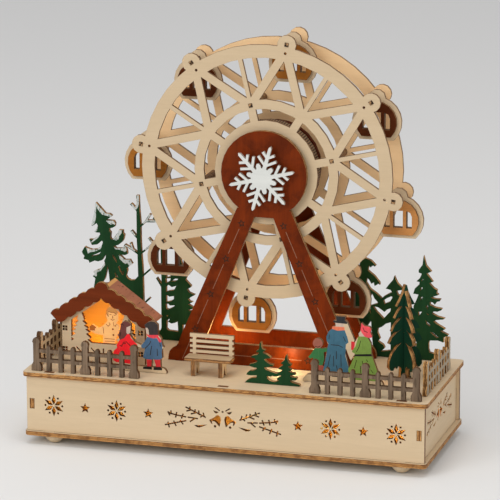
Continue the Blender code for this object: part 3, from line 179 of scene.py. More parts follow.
class Shader:
    """A material's node tree, with short calls for the nodes that the finishes share."""

    def __init__(self, name, specular=0.2):
        self.material = bpy.data.materials.new(name)
        self.material.use_nodes = True
        self.tree = self.material.node_tree
        self.tree.nodes.clear()
        self.bsdf = self.add("ShaderNodeBsdfPrincipled", {"Specular IOR Level": specular})
        self.add("ShaderNodeOutputMaterial", {"Surface": self.bsdf.outputs["BSDF"]})

    def add(self, kind, inputs=None, **settings):
        """A node with its settings, its inputs linked or set."""
        node = self.tree.nodes.new(kind)
        for key, value in settings.items():
            setattr(node, key, value)
        for key, value in (inputs or {}).items():
            self.feed(node.inputs[key], value)
        return node

    def feed(self, socket, value):
        """Link a socket, or set it if value is a number or a colour."""
        if isinstance(value, bpy.types.NodeSocket):
            self.tree.links.new(value, socket)
        elif isinstance(value, (int, float)) or len(value) == len(socket.default_value):
            socket.default_value = value
        else:
            socket.default_value = (*value, 1.0)

    def coordinates(self, kind):
        return self.add("ShaderNodeTexCoord").outputs[kind]

    def noise(self, scale, detail=3.0, roughness=0.5, distortion=0.0):
        """Noise on the object's own coordinates; scale is per metre along X, Y and Z."""
        place = self.add("ShaderNodeMapping",
                         {"Scale": scale, "Vector": self.coordinates("Object")})
        texture = self.add("ShaderNodeTexNoise", {
            "Vector": place.outputs["Vector"], "Scale": 1.0, "Detail": detail,
            "Roughness": roughness, "Distortion": distortion})
        return texture.outputs[0]

    def plies(self, direction):
        """Noise in layers across a direction, as plies show on a cut edge."""
        depth = self.dot(self.coordinates("Object"), shade(direction, PLIES_IN_A_METRE))
        char = self.noise((110, 110, 110), 3, 0.6)
        layers = self.math("ADD", depth, self.math("MULTIPLY", char, 2.5))
        texture = self.add("ShaderNodeTexNoise", {"W": layers, "Scale": 1.0, "Detail": 2.0},
                           noise_dimensions="1D")
        return texture.outputs[0]

    def position(self, axis):
        """Where a point lies along one of the object's axes, in metres."""
        return self.add("ShaderNodeSeparateXYZ", {0: self.coordinates("Object")}).outputs[axis]

    def math(self, operation, a, b=0.0):
        return self.add("ShaderNodeMath", {0: a, 1: b}, operation=operation).outputs[0]

    def dot(self, a, b):
        node = self.add("ShaderNodeVectorMath", {0: a, 1: b}, operation="DOT_PRODUCT")
        return node.outputs["Value"]

    def mix(self, factor, a, b):
        node = self.add("ShaderNodeMix", {0: factor, MIX_A: a, MIX_B: b}, data_type="RGBA")
        return node.outputs[MIX_RESULT]

    def band(self, value, low, high, out_low=0.0, out_high=1.0):
        """value from low to high becomes out_low to out_high, clamped."""
        node = self.add("ShaderNodeMapRange", {
            "Value": value, "From Min": low, "From Max": high, "To Min": out_low,
            "To Max": out_high}, clamp=True)
        return node.outputs["Result"]

    def blend(self, value, low, high, a, b, share=1.0):
        """a where value is at low, and b, or a share of it, where it is at high."""
        return self.mix(self.band(value, low, high, 0.0, share), a, b)

    def facing(self, direction):
        """How squarely a surface faces along a direction, -1 to 1."""
        return self.dot(self.coordinates("Normal"), direction)

    def near_edge(self, reach):
        """1 beside a sharp edge, 0 further away than about reach."""
        rim = self.add("ShaderNodeBevel", {"Radius": reach}, samples=4)
        own_normal = self.add("ShaderNodeNewGeometry").outputs["True Normal"]
        return self.band(self.dot(rim.outputs["Normal"], own_normal), 0.999, 0.80)

    def bump(self, height, strength, distance):
        node = self.add("ShaderNodeBump",
                        {"Strength": strength, "Distance": distance, "Height": height})
        self.feed(self.bsdf.inputs["Normal"], node.outputs["Normal"])

    def glow(self, colour, strength):
        self.feed(self.bsdf.inputs["Emission Color"], colour)
        self.feed(self.bsdf.inputs["Emission Strength"], strength)

    def finish(self, colour, roughness):
        self.feed(self.bsdf.inputs["Base Color"], colour)
        self.feed(self.bsdf.inputs["Roughness"], roughness)
        return self.material


def along_grain(grain, length_scale, width_scale):
    """Noise scale of streaks that run along one axis."""
    scale = [width_scale] * 3
    scale[grain] = length_scale
    return scale


def shade(colour, factor):
    return tuple(c * factor for c in colour)


# finishes


def wood(name, light, dark, plate=ALONG_Y, grain=X, edge=BURNT, flecks=0.0, stains=0.0,
         raw_back=False, bar_ends=False, ridge=None, specular=0.2, fibres=0.12, streaks=0.06,
         roughness=(0.53, 0.70)):
    """Plywood seen on its face, with laser burnt edges; plate is the direction of its thickness."""
    s = Shader(name, specular)
    figure = s.noise(along_grain(grain, 7, 85), 3, 0.55, 0.6)
    fibre = s.noise(along_grain(grain, 45, 1300), 4, 0.6)
    pore = s.noise(along_grain(grain, 160, 2600), 2, 0.5)
    colour = s.blend(figure, 0.32, 0.68, light, dark)
    streak = s.noise(along_grain(grain, 30, 400), 3, 0.6)
    colour = s.blend(streak, 0.42, 0.66, colour, shade(dark, 0.5), streaks)
    colour = s.blend(fibre, 0.42, 0.75, colour, shade(dark, 0.72), fibres)
    colour = s.blend(pore, 0.66, 0.76, colour, shade(dark, 0.5), fibres)
    if flecks:
        fleck = s.noise(along_grain(grain, 80, 380), 2, 0.6)
        colour = s.blend(fleck, 0.60, 0.66, colour, shade(dark, 0.30), flecks)
    if stains:
        blotch = s.noise((45, 45, 45), 4, 0.65, 0.4)
        colour = s.blend(blotch, 0.46, 0.62, colour, shade(dark, 0.25), stains)
        # painted glints: sparse light flecks in place of the sparkle of the glossy stain
        painted_glints = s.noise((900, 900, 900), 2, 0.5)
        colour = s.blend(painted_glints, 0.72, 0.78, colour, shade(light, 2.2), 0.5)
    facing = s.facing(plate)
    if raw_back:
        colour = s.blend(facing, -0.55, -0.80, colour, s.mix(figure, PLY_LIGHT, PLY_DARK))
    burnt = s.blend(s.plies(plate), 0.42, 0.58, *edge)
    patch = s.noise((150, 150, 150), 3, 0.6)
    burnt = s.blend(patch, 0.46, 0.62, burnt, edge[0], 0.65)
    halo = s.math("MULTIPLY", s.near_edge(HALO_REACH * MM), 0.75)
    colour = s.mix(halo, colour, s.mix(0.7, colour, SCORCH))
    colour = s.blend(s.math("ABSOLUTE", facing), 0.80, 0.55, colour, burnt)
    if ridge is not None:
        raw_end = s.mix(figure, STAINED_EDGE[1], BOARD_EDGE[1])
        raw_to = ridge + RAW_AT_RIDGE
        colour = s.blend(s.position(X), (raw_to + 0.2) * MM, raw_to * MM, colour, raw_end)
    if bar_ends:
        char = s.noise((420, 420, 420), 3, 0.6)
        end_grain = s.blend(char, 0.46, 0.60, SCORCH, shade(BURNT[1], 1.2))
        proud = (DISC_FACE_Y - 0.05) * MM
        colour = s.blend(s.position(Y), proud + 0.02 * MM, proud, colour, end_grain)
    s.bump(s.math("ADD", fibre, pore), 0.22, 0.12 * MM)
    return s.finish(colour, s.band(fibre, 0.3, 0.7, *roughness))


def paint(name, colour):
    """Hand brushed paint thin enough for the wood's fibres to show in it."""
    s = Shader(name)
    brush = s.noise(along_grain(Z, 90, 420), 4, 0.65, 0.4)
    fibre = s.noise(along_grain(Z, 60, 1500), 3, 0.6)
    mottle = s.noise((260, 260, 260), 4, 0.6)
    tone = s.blend(brush, 0.35, 0.68, colour, shade(colour, 0.80))
    tone = s.blend(mottle, 0.40, 0.72, tone, shade(colour, 1.22), 0.35)
    tone = s.blend(fibre, 0.66, 0.76, tone, PLY_DARK, 0.10)
    s.bump(s.math("ADD", brush, fibre), 0.25, 0.10 * MM)
    return s.finish(tone, s.band(brush, 0.3, 0.7, 0.42, 0.60))


def snowy(name):
    """Snow white paint in ragged dabs over green."""
    s = Shader(name)
    dab = s.noise(along_grain(Z, 260, 520), 4, 0.65, 0.5)
    s.bump(dab, 0.4, 0.15 * MM)
    return s.finish(s.blend(dab, 0.56, 0.62, SNOW_WHITE, shade(DARK_GREEN, 1.4)), 0.55)


def engraved(name, colour):
    """A line burnt into the surface by the laser."""
    s = Shader(name)
    char = s.noise((900, 900, 900), 3, 0.6)
    s.bump(char, 0.4, 0.10 * MM)
    return s.finish(s.blend(char, 0.35, 0.65, colour, shade(colour, 1.8)), 0.8)


def painted_lamplight_wood(name, colour, strength):
    """Thin plywood with painted lamp light: a warm tone and a glow of its own in place of the hut
    lamp lighting it.
    """
    s = Shader(name)
    fibre = s.noise(along_grain(X, 45, 1300), 4, 0.6)
    cloud = s.noise((70, 70, 70), 3, 0.6)
    tone = s.blend(cloud, 0.35, 0.65, colour, shade(colour, 0.85))
    tone = s.blend(fibre, 0.45, 0.75, tone, shade(colour, 0.65), 0.3)
    s.glow(tone, strength)
    s.bump(fibre, 0.2, 0.1 * MM)
    return s.finish(tone, 0.65)


def bent_drum(name):
    """Plywood bent round the drum over close kerfs, raw at the front, with painted shade behind."""
    s = Shader(name)
    across = s.math("SUBTRACT", s.position(X), WHEEL_X * MM)
    up = s.math("SUBTRACT", s.position(Z), WHEEL_Z * MM)
    kerfs_in_a_turn = 120
    turn = s.math("MULTIPLY", s.math("ARCTAN2", up, across), kerfs_in_a_turn / (2 * math.pi))
    kerf = s.math("ABSOLUTE", s.math("SUBTRACT", s.math("FRACT", turn), 0.5))
    wander = s.noise((160, 900, 160), 3, 0.6)
    kerf = s.math("ADD", kerf, s.band(wander, 0.3, 0.7, -0.12, 0.12))
    raw = s.blend(kerf, 0.14, 0.34, (0.32, 0.20, 0.10), (0.055, 0.024, 0.010))
    # painted shade: darkened copies of the red-brown stain in place of the deep shadow behind the
    # drum's front
    dark = s.blend(wander, 0.35, 0.65, shade(RED_BROWN, 0.7), shade(RED_BROWN, 0.3))
    s.bump(kerf, 0.4, 0.3 * MM)
    shade_from = DRUM_SHADE_FROM_Y * MM
    return s.finish(s.blend(s.position(Y), shade_from - 0.2 * MM, shade_from, raw, dark), 0.65)


def turned_wood(name, light, dark):
    """Wood turned to a ball, its grain along the depth."""
    s = Shader(name)
    figure = s.noise(along_grain(Y, 12, 160), 3, 0.6, 0.5)
    fibre = s.noise(along_grain(Y, 60, 1500), 3, 0.6)
    colour = s.blend(figure, 0.35, 0.65, light, dark)
    colour = s.blend(fibre, 0.45, 0.7, colour, shade(dark, 0.7), 0.4)
    s.bump(fibre, 0.2, 0.1 * MM)
    return s.finish(colour, s.band(fibre, 0.3, 0.7, 0.45, 0.6))


def plastic(name, colour):
    """Moulded plastic with a fine spark-eroded grain."""
    s = Shader(name, 0.5)
    grain = s.noise((2600, 2600, 2600), 2, 0.5)
    smudge = s.noise((60, 60, 60), 3, 0.6)
    s.bump(grain, 0.25, 0.05 * MM)
    tone = s.blend(smudge, 0.35, 0.7, colour, shade(colour, 1.5))
    return s.finish(tone, s.band(smudge, 0.3, 0.7, 0.36, 0.52))


def glowing(name, strength):
    """A lit lamp with a slightly uneven skin."""
    s = Shader(name)
    cloud = s.noise((500, 500, 500), 2, 0.5)
    s.glow(s.blend(cloud, 0.3, 0.7, LAMP_COLOUR, shade(LAMP_COLOUR, 0.8)), strength)
    return s.finish(LAMP_COLOUR, 0.3)


def stained(name, colour, contrast=0.16, specular=0.06, fibres=0.35, **more):
    """Plywood with a thin stain or paint that its grain shows through."""
    return wood(name, shade(colour, 1 + contrast), shade(colour, 1 - contrast),
                specular=specular, fibres=fibres, **more)


def finishes():
    """All materials, by the name that the pieces ask for."""
    ply = PLY_LIGHT, PLY_DARK
    end_on = {"plate": ALONG_X, "grain": Y}
    upright = {"grain": Z, "edge": STAINED_EDGE}
    roof = {"grain": Y, "edge": STAINED_EDGE, "flecks": 0.7}
    slope_left = (-math.sin(HUT_ROOF_SLOPE), 0.0, math.cos(HUT_ROOF_SLOPE))
    slope_right = (math.sin(HUT_ROOF_SLOPE), 0.0, math.cos(HUT_ROOF_SLOPE))
    half = math.sqrt(0.5)
    fir_a, fir_b = (-half, half, 0.0), (half, half, 0.0)
    return {
        "ply": wood("pale_ply", *ply),
        "ply_board": wood("pale_ply_board", *ply, plate=ALONG_Z, edge=BOARD_EDGE),
        "ply_side": wood("pale_ply_side", *ply, **end_on),
        "wall": wood("pale_wall", *ply, edge=CHARRED),
        "end_wall": wood("pale_end_wall", *ply, **end_on, edge=BOARD_EDGE),
        "hut_back": wood("hut_back_wall", (0.72, 0.52, 0.17), (0.66, 0.47, 0.15),
                         plate=(0.0, -1.0, 0.0), raw_back=True),
        "bench": wood("bench_seat", (0.58, 0.42, 0.25), (0.38, 0.25, 0.135), plate=ALONG_Z,
                      edge=BENCH_EDGE, streaks=0.5),
        "bench_leg": wood("bench_leg", *ply, **end_on, edge=BENCH_EDGE),
        "wheel": wood("pale_wheel", shade(PLY_LIGHT, 0.90), shade(PLY_DARK, 0.90), bar_ends=True),
        # painted light: the back disc is a lighter, warmer ply than the front, in place of warm
        # lamp light in the front disc's shade
        "wheel_back_painted_light": wood("painted_lamplight_wheel", (0.90, 0.62, 0.34), (0.84, 0.57, 0.31), bar_ends=True),
        "red_brown": stained("red_brown_stain", RED_BROWN, specular=0.09, **upright,
                             stains=0.45, streaks=0.2, roughness=(0.36, 0.52)),
        "barge": stained("red_brown_board", BARGE_BROWN, edge=STAINED_EDGE),
        "orange_brown": stained("orange_brown_stain", ORANGE_BROWN),
        # painted light: a lighter copy of the orange-brown stain for the gondola panel that catches
        # more light
        "ochre": stained("orange_brown_painted_light", LIT_ORANGE_BROWN),
        "dark_brown": stained("dark_brown_stain", DARK_BROWN),
        "roof_left": stained("mauve_brown_left", MAUVE_BROWN, plate=slope_left, **roof),
        "roof_right": stained("mauve_brown_right", MAUVE_BROWN, plate=slope_right, **roof,
                              ridge=HUT_X),
        "fence": stained("grey_stain", GREY_BROWN, 0.42, grain=Z, edge=FENCE_EDGE, flecks=0.5,
                         streaks=0.6),
        "fence_left": stained("grey_stain_left", PALE_GREY, plate=(-1.0, 0.0, 0.0), grain=Z,
                              edge=FENCE_EDGE, raw_back=True, streaks=0.5),
        "fence_right": stained("grey_stain_right", PALE_GREY, plate=ALONG_X, **upright,
                               raw_back=True, streaks=0.5),
        "green": stained("green_paint", DARK_GREEN, **upright),
        "green_a": stained("green_paint_a", BLUE_GREEN, plate=fir_a, **upright),
        "green_b": stained("green_paint_b", BLUE_GREEN, plate=fir_b, **upright),
        "white": wood("white_paint", WHITE_PAINT, shade(WHITE_PAINT, 0.9),
                      edge=((0.30, 0.25, 0.20), (0.45, 0.40, 0.33))),
        "snow": snowy("snow_paint"),
        "drum": bent_drum("bent_drum"),
        "scorch": engraved("scorch", SCORCH),
        "faint_line": engraved("faint_line", (0.18, 0.085, 0.050)),
        # the stallholder's pieces glow: painted lamp light on a piece that is no lamp
        "seller": painted_lamplight_wood("seller_ply", (0.84, 0.45, 0.16), 0.45),
        "seller_hair": painted_lamplight_wood("seller_hair", (0.62, 0.30, 0.09), 0.2),
        "seller_line": painted_lamplight_wood("seller_line", (0.36, 0.10, 0.018), 0.10),
        "mitten": painted_lamplight_wood("seller_mitten", (0.50, 0.165, 0.030), 0.15),
        "foot": turned_wood("turned_foot", *ply),
        "black": plastic("black_plastic", (0.018, 0.018, 0.020)),
        "lamp": glowing("warm_lamp", 9.0),
        **{name: paint(name, colour) for name, colour in PAINTS.items()},
    }


FINISH = finishes()


def finish_nodes():
    """The CAD nodes that keep their shape get their finish."""
    chosen = {
        "ply": "back_wall bench_back",
        "ply_board": "top_board bottom_board",
        "ply_side": "hut_side_left hut_side_right",
        "hut_back": "hut_back",
        "wheel": "wheel_disc_front",
        # the back disc's finish has painted warm light in it
        "wheel_back_painted_light": "wheel_disc_back",
        "drum": "hub",
        "bench": "bench_seat",
        "bench_leg": "bench_leg_left bench_leg_right",
        "red_brown": "a_frame_back",
        "barge": "hut_bargeboard",
        "roof_left": "hut_roof_left",
        "roof_right": "hut_roof_right",
        "fence": "fence_front_left fence_front_right",
        "fence_left": "fence_end_left",
        "fence_right": "fence_end_right",
        "green_a": "fir_big_a",
        "green_b": "fir_big_b",
        "white": "snowflake",
        "black": "power_box battery_cover switch_slider",
        "foot": "foot_1 foot_2 foot_3 foot_4",
        "lamp": "lamp_wheel lamp_hut",
    }
    pairs = [(name, finish) for finish, names in chosen.items() for name in names.split()]
    # panel 3 has a lighter orange-brown: painted light
    panels = {1: "orange_brown", 3: "ochre", 5: "orange_brown", 7: "orange_brown"}
    for i in range(1, 9):
        pairs.append((f"gondola_{i}", "ply"))
        pairs.append((f"gondola_panel_{i}", panels.get(i, "dark_brown")))
    for name, finish in pairs:
        NODES[name].data.materials.clear()
        NODES[name].data.materials.append(FINISH[finish])


# outlines of painted areas


def circle(cx, cy, radius, steps):
    turns = [2 * math.pi * i / steps for i in range(steps)]
    return [(cx + radius * math.cos(a), cy + radius * math.sin(a)) for a in turns]


def rect(u0, v0, u1, v1):
    return [(u0, v0), (u1, v0), (u1, v1), (u0, v1)]


def star(cx, cy, outer, inner, turn=90.0):
    """A five pointed star; turn is the direction of its first point in degrees."""
    points = []
    for i in range(10):
        radius = inner if i % 2 else outer
        a = math.radians(turn + 36 * i)
        points.append((cx + radius * math.cos(a), cy + radius * math.sin(a)))
    return points


def stroke(points, width):
    """Four sided outlines that follow a line of points."""
    pieces = []
    for (x0, y0), (x1, y1) in zip(points, points[1:]):
        length = math.hypot(x1 - x0, y1 - y0)
        dx, dy = (x1 - x0) / length * width / 2, (y1 - y0) / length * width / 2
        pieces.append([(x0 - dx + dy, y0 - dy - dx), (x1 + dx + dy, y1 + dy - dx),
                       (x1 + dx - dy, y1 + dy + dx), (x0 - dx - dy, y0 - dy + dx)])
    return pieces


def turned(points, degrees):
    c, s = math.cos(math.radians(degrees)), math.sin(math.radians(degrees))
    return [(u * c - v * s, u * s + v * c) for u, v in points]


def moved(points, du, dv, scale=1.0):
    return [(u * scale + du, v * scale + dv) for u, v in points]


def mirrored(points):
    return [(-u, v) for u, v in points]


def around(points):
    """The edges of a closed line of points."""
    return list(zip(points, points[1:] + points[:1]))


def cuts(outlines):
    """Areas that are holes."""
    return [(None, outline) for outline in outlines]


def strokes(finish, lines, width):
    """Areas of one finish that follow lines of points."""
    return [(finish, piece) for line in lines for piece in stroke(line, width)]


def placed(areas, du=0.0, dv=BOARD_TOP):
    """Areas measured from the top board, moved to where they are in the world."""
    return [(finish, moved(outline, du, dv)) for finish, outline in areas]


# plates


def plate_edges(node, axis, side, hidden):
    """The outline of a flat CAD plate on one side, as edges in millimetres in its own plane.

    Cut-outs that lie in one of the hidden boxes are left out.
    """
    mesh = NODES[node].data
    across = [i for i in (X, Y, Z) if i != axis]
    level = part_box(node)[side > 0][axis]
    corners = [tuple(round(c / MM, 3) for c in v.co) for v in mesh.vertices]
    seen = {}
    for polygon in mesh.polygons:
        faces_out = polygon.normal[axis] * side > SQUARE_ON
        if not faces_out or abs(polygon.center[axis] - level) > SAME_LEVEL * MM:
            continue
        loop = [tuple(corners[i][a] for a in across) for i in polygon.vertices]
        for a, b in around(loop):
            key = (min(a, b), max(a, b))
            seen[key] = seen.get(key, 0) + 1

    def shown(edge):
        return not any(u0 < u < u1 and v0 < v < v1
                       for u, v in edge for u0, v0, u1, v1 in hidden)

    return [edge for edge, count in seen.items() if count == 1 and shown(edge)]


def in_outline(u, v, edges):
    """True if the point lies inside the closed outline that has these edges."""
    hit = False
    for (u0, v0), (u1, v1) in edges:
        if (v0 > v) != (v1 > v) and u < u0 + (v - v0) / (v1 - v0) * (u1 - u0):
            hit = not hit
    return hit


def divided(edges, areas, base):
    """Triangles of a plate's face, each with the finish of the last area that it lies in.

    edges are the plate's outline. Without them the areas alone make the plate's shape.
    """
    points = sorted({p for edge in edges for p in edge})
    index = {p: i for i, p in enumerate(points)}
    lines = [(index[a], index[b]) for a, b in edges]
    for _, outline in areas:
        start, count = len(points), len(outline)
        points = points + outline
        lines += [(start + i, start + (i + 1) % count) for i in range(count)]
    every_triangle, nearness = 0, 1e-4
    coords, _, triangles, _, _, _ = delaunay_2d_cdt(
        [Vector(p) for p in points], lines, [], every_triangle, nearness)

    rings = [(finish, around(outline)) for finish, outline in areas]
    kept = []
    for triangle in triangles:
        u = sum(coords[i].x for i in triangle) / 3
        v = sum(coords[i].y for i in triangle) / 3
        if edges and not in_outline(u, v, edges):
            continue
        finish = base if edges else None
        for name, ring in rings:
            if in_outline(u, v, ring):
                finish = name
        if finish is not None:
            kept.append((triangle, finish))
    return coords, kept


def plate(node, areas, base, slot, axis=Y, side=-1, hidden=(), own_outline=False):
    """Rebuild a flat CAD node of the base with painted areas on its front.

    areas are (finish, outline) in millimetres in the plate's plane, the last one on top. A
    finish of None cuts a hole. With own_outline the areas alone make the plate's shape.
    """
    edges = [] if own_outline else plate_edges(node, axis, side, hidden)
    coords, kept = divided(edges, areas, base)
    names = list(dict.fromkeys([base] + [finish for _, finish in kept]))
    low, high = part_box(node)
    levels = (low[axis], high[axis]) if side < 0 else (high[axis], low[axis])
    flip = (side > 0) == (axis == Y)
    used = sorted({i for triangle, _ in kept for i in triangle})
    place = {i: n for n, i in enumerate(used)}
    across = [i for i in (X, Y, Z) if i != axis]
    verts = []
    for level in levels:
        for i in used:
            point = [level] * 3
            point[across[0]], point[across[1]] = coords[i].x * MM, coords[i].y * MM
            verts.append(point)

    faces, materials = [], []

    def add_face(loop, material):
        faces.append(loop[::-1] if flip else loop)
        materials.append(material)

    behind = len(used)
    open_edges = {}
    for triangle, finish in kept:
        loop = [place[i] for i in triangle]
        add_face(loop, names.index(finish))
        add_face([i + behind for i in loop[::-1]], 0)
        for a, b in around(loop):
            if open_edges.pop((b, a), None) is None:
                open_edges[a, b] = True
    for a, b in open_edges:
        add_face([a, a + behind, b + behind, b], 0)
    piece = add_mesh(node + "_finished", verts, faces, [FINISH[name] for name in names])
    for polygon, material in zip(piece.data.polygons, materials):
        polygon.material_index = material
    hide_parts(node)
    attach(piece, "base")


def add_mesh(name, verts, faces, materials):
    mesh = bpy.data.meshes.new(name)
    mesh.from_pydata(verts, [], faces)
    for material in materials:
        mesh.materials.append(material)
    piece = bpy.data.objects.new(name, mesh)
    bpy.context.scene.collection.objects.link(piece)
    return piece


# cut-outs of the base walls


def rosette(u, v):
    """Six kite petals with six small diamonds between their tips."""
    petal = [(0.9, 0.0), (4.8, -2.0), (10.2, 0.0), (4.8, 2.0)]
    diamond = [(6.9, 0.0), (8.1, -1.2), (9.3, 0.0), (8.1, 1.2)]
    shapes = [turned(petal, 30 + 60 * i) for i in range(6)]
    shapes += [turned(diamond, 60 * i) for i in range(6)]
    return [moved(shape, u, v) for shape in shapes]


def bell_motif():
    """A bow over two bells, with a leaf and fir twigs to each side."""
    left = [
        [(-7.7, 10.9), (-6.3, 11.4), (-2.5, 8.8), (-2.9, 7.9), (-4.8, 9.2)],
        [(-8.8, 8.4), (-7.4, 7.9), (-3.6, 7.1), (-6.1, 5.5), (-7.7, 6.4)],
        [
            (-12.7, -1), (-10, 0.4), (-7.4, 1.9), (-6.1, 3.5), (-4.1, 4.1), (-2.3, 2.7),
            (-1.6, 0.2), (-2.2, -3.2), (-3, -6.7), (-4.2, -5.5), (-5.9, -3.5), (-7.7, -2),
            (-10.2, -1.9), (-9.7, -5.1), (-11, -3.8)],
        circle(-7.1, -6.6, 1.2, 8),
        [(-26.8, -7.2), (-21.6, -6.8), (-14.6, -5.7), (-17.8, -7.3), (-21.7, -9), (-24.3, -8.8)]]
    for line in (
            [(-51.4, 3.1), (-48.8, 2), (-44, 1.1), (-37.8, 0.3), (-35, -0.1)],
            [(-48.7, 4.3), (-48.8, 2)], [(-50.1, 0.6), (-51.4, 3.1)],
            [(-43.4, 3.1), (-44.3, -0.9)], [(-37.3, 2.3), (-38.7, -1.4)],
            [(-54.1, -9), (-34.9, -3.7)], [(-51.6, -6.7), (-50.6, -10.8)],
            [(-46, -5.2), (-44.2, -8.9)], [(-39.8, -3.9), (-37.7, -6.8)],
            [(-34.4, 9.1), (-16.4, 1.2)], [(-30.8, 9.4), (-30.8, 6.8)],
            [(-33.6, 5.7), (-30.8, 6.6)], [(-25.9, 7.2), (-25.9, 4.5)],
            [(-29.3, 3.3), (-26.1, 4.4)], [(-22.5, 6.4), (-22, 3.3)], [(-18.1, 4.7), (-17.4, 2)],
            [(-20.6, 1.1), (-19.3, 2.2)], [(-32.3, -0.2), (-23.9, -0.8)],
            [(-30.4, -3.9), (-26.1, -0.7)]):
        left += stroke(line, CUT_TWIG)
    knot = [(-1.3, 7.4), (0.0, 8.5), (1.3, 7.4), (0.0, 6.6)]
    return [knot] + left + [mirrored(shape) for shape in left]


def base_walls():
    """The front wall and the two end walls, with fine cut-outs."""
    shapes = bell_motif()
    for sign in (-1, 1):
        for x in ROSETTES_X:
            shapes += rosette(sign * x, 0.0)
        shapes += [star(sign * x, 0.0, *WALL_STAR) for x in WALL_STARS_X]
    plate("front_wall", cuts(moved(shape, 0.0, MOTIF_Z) for shape in shapes), "wall",
          "pale_plywood", hidden=[FRONT_CUTS])
    end_cuts = cuts(moved(shape, 0.0, END_MOTIF_Z, END_MOTIF_SCALE) for shape in bell_motif())
    for name, side in (("end_wall_left", -1), ("end_wall_right", 1)):
        plate(name, end_cuts, "end_wall", "pale_plywood", X, side, hidden=[END_CUTS])


# stand


def stand_engraving():
    """Outlined stars down each leg and on the beam, joined by thin lines."""
    middle = 17.5                        # between the two legs
    first_u, first_v = 19.8, 134.5       # the highest star of a leg
    step_u, step_v = 14.9, 34.4          # from a star to the next one down
    beam_star = (60.1, BOARD_TOP + 9.3)
    gap = 0.16                           # share of a line that stays clear beside a star
    star_outline, star_heart, star_turn = (4.0, 1.8), (2.3, 0.8), 100
    stars = [beam_star]
    lines = []
    for sign, count in ((-1, 4), (1, 3)):
        run = [(middle + sign * (first_u + step_u * k), BOARD_TOP + first_v - step_v * k)
               for k in range(count + 1)]
        stars += run[:-1]
        for (u0, v0), (u1, v1) in zip(run, run[1:]):
            lines.append([(u0 + gap * (u1 - u0), v0 + gap * (v1 - v0)),
                          (u1 - gap * (u1 - u0), v1 - gap * (v1 - v0))])
    for start, end in ((-38.0, 20.0), (24.0, 54.0), (66.0, 84.0)):
        lines.append([(start, beam_star[1]), (end, beam_star[1])])
    areas = strokes("faint_line", lines, ENGRAVED_LINE)
    for u, v in stars:
        areas.append(("scorch", star(u, v, *star_outline, star_turn)))
        areas.append(("red_brown", star(u, v, *star_heart, star_turn)))
    return areas


# hut


def hut_front_windows():
    """Four panes in each of the four small windows."""
    half_bar, half_window = 0.25, 2.3
    pane = half_window - half_bar
    around_window = 3
    areas, hidden = [], []
    for u, v in ((-37.1, 29.9), (-37.1, 10.0), (36.1, 30.4), (36.1, 10.1)):
        u, v = HUT_X + u, STAND_ON + v
        hidden.append((u - around_window, v - around_window, u + around_window, v + around_window))
        for a in (-half_window, half_bar):
            for b in (-half_window, half_bar):
                areas.append((None, rect(u + a, v + b, u + a + pane, v + b + pane)))
    return areas, hidden


def seller_engraving():
    """Hair, face, collar, buttons, mitten and hem of the stallholder."""
    areas = [
        ("mitten", [
            (-10.5, 27.5), (-11, 29), (-9.5, 30.5), (-11, 32.5), (-13.5, 33.5), (-15.5, 31),
            (-15, 27.5)]),
        ("seller_hair", [
            (3, 51.5), (1.5, 49), (0.5, 46), (1.5, 43.5), (3, 42), (3, 46.5), (5.5, 46),
            (8.5, 46), (10.5, 44), (12.2, 46), (9.8, 49.3), (7.3, 50.6)])]
    lines = (
        [(3, 51.5), (1.5, 49), (0.5, 46), (1.5, 43.5), (3, 42)],
        [(3, 46.5), (5.5, 46), (8.5, 46), (10.5, 44)], [(4.2, 43.8), (5.6, 43.9)],
        [(8.2, 43.6), (9.6, 43.4)], [(6.8, 42.6), (7.2, 40.8), (6.4, 40.6)],
        [(5.2, 39.3), (6.8, 38.6), (8.4, 39.2)],
        [(0.5, 34.5), (2.5, 32.5), (4.5, 34.5), (3.5, 36)],
        [(7.5, 36.5), (8, 33.5), (9.5, 33), (10.5, 35)], [(-2.5, 31), (-2, 28.5), (-2, 25.5)],
        [(-10.5, 27.5), (-11, 29), (-9.5, 30.5), (-11, 32.5), (-13.5, 33.5)],
        [(-1, 20.5), (8.5, 20.5)], [(-1, 18), (8.5, 18.5)])
    areas += strokes("seller_line", lines, ENGRAVED_LINE)
    for u, v in ((7, 30), (7.5, 24.5)):
        areas.append(("seller_line", circle(u, v, 1.0, 10)))
    return placed(areas, HUT_X, STAND_ON)


# trees


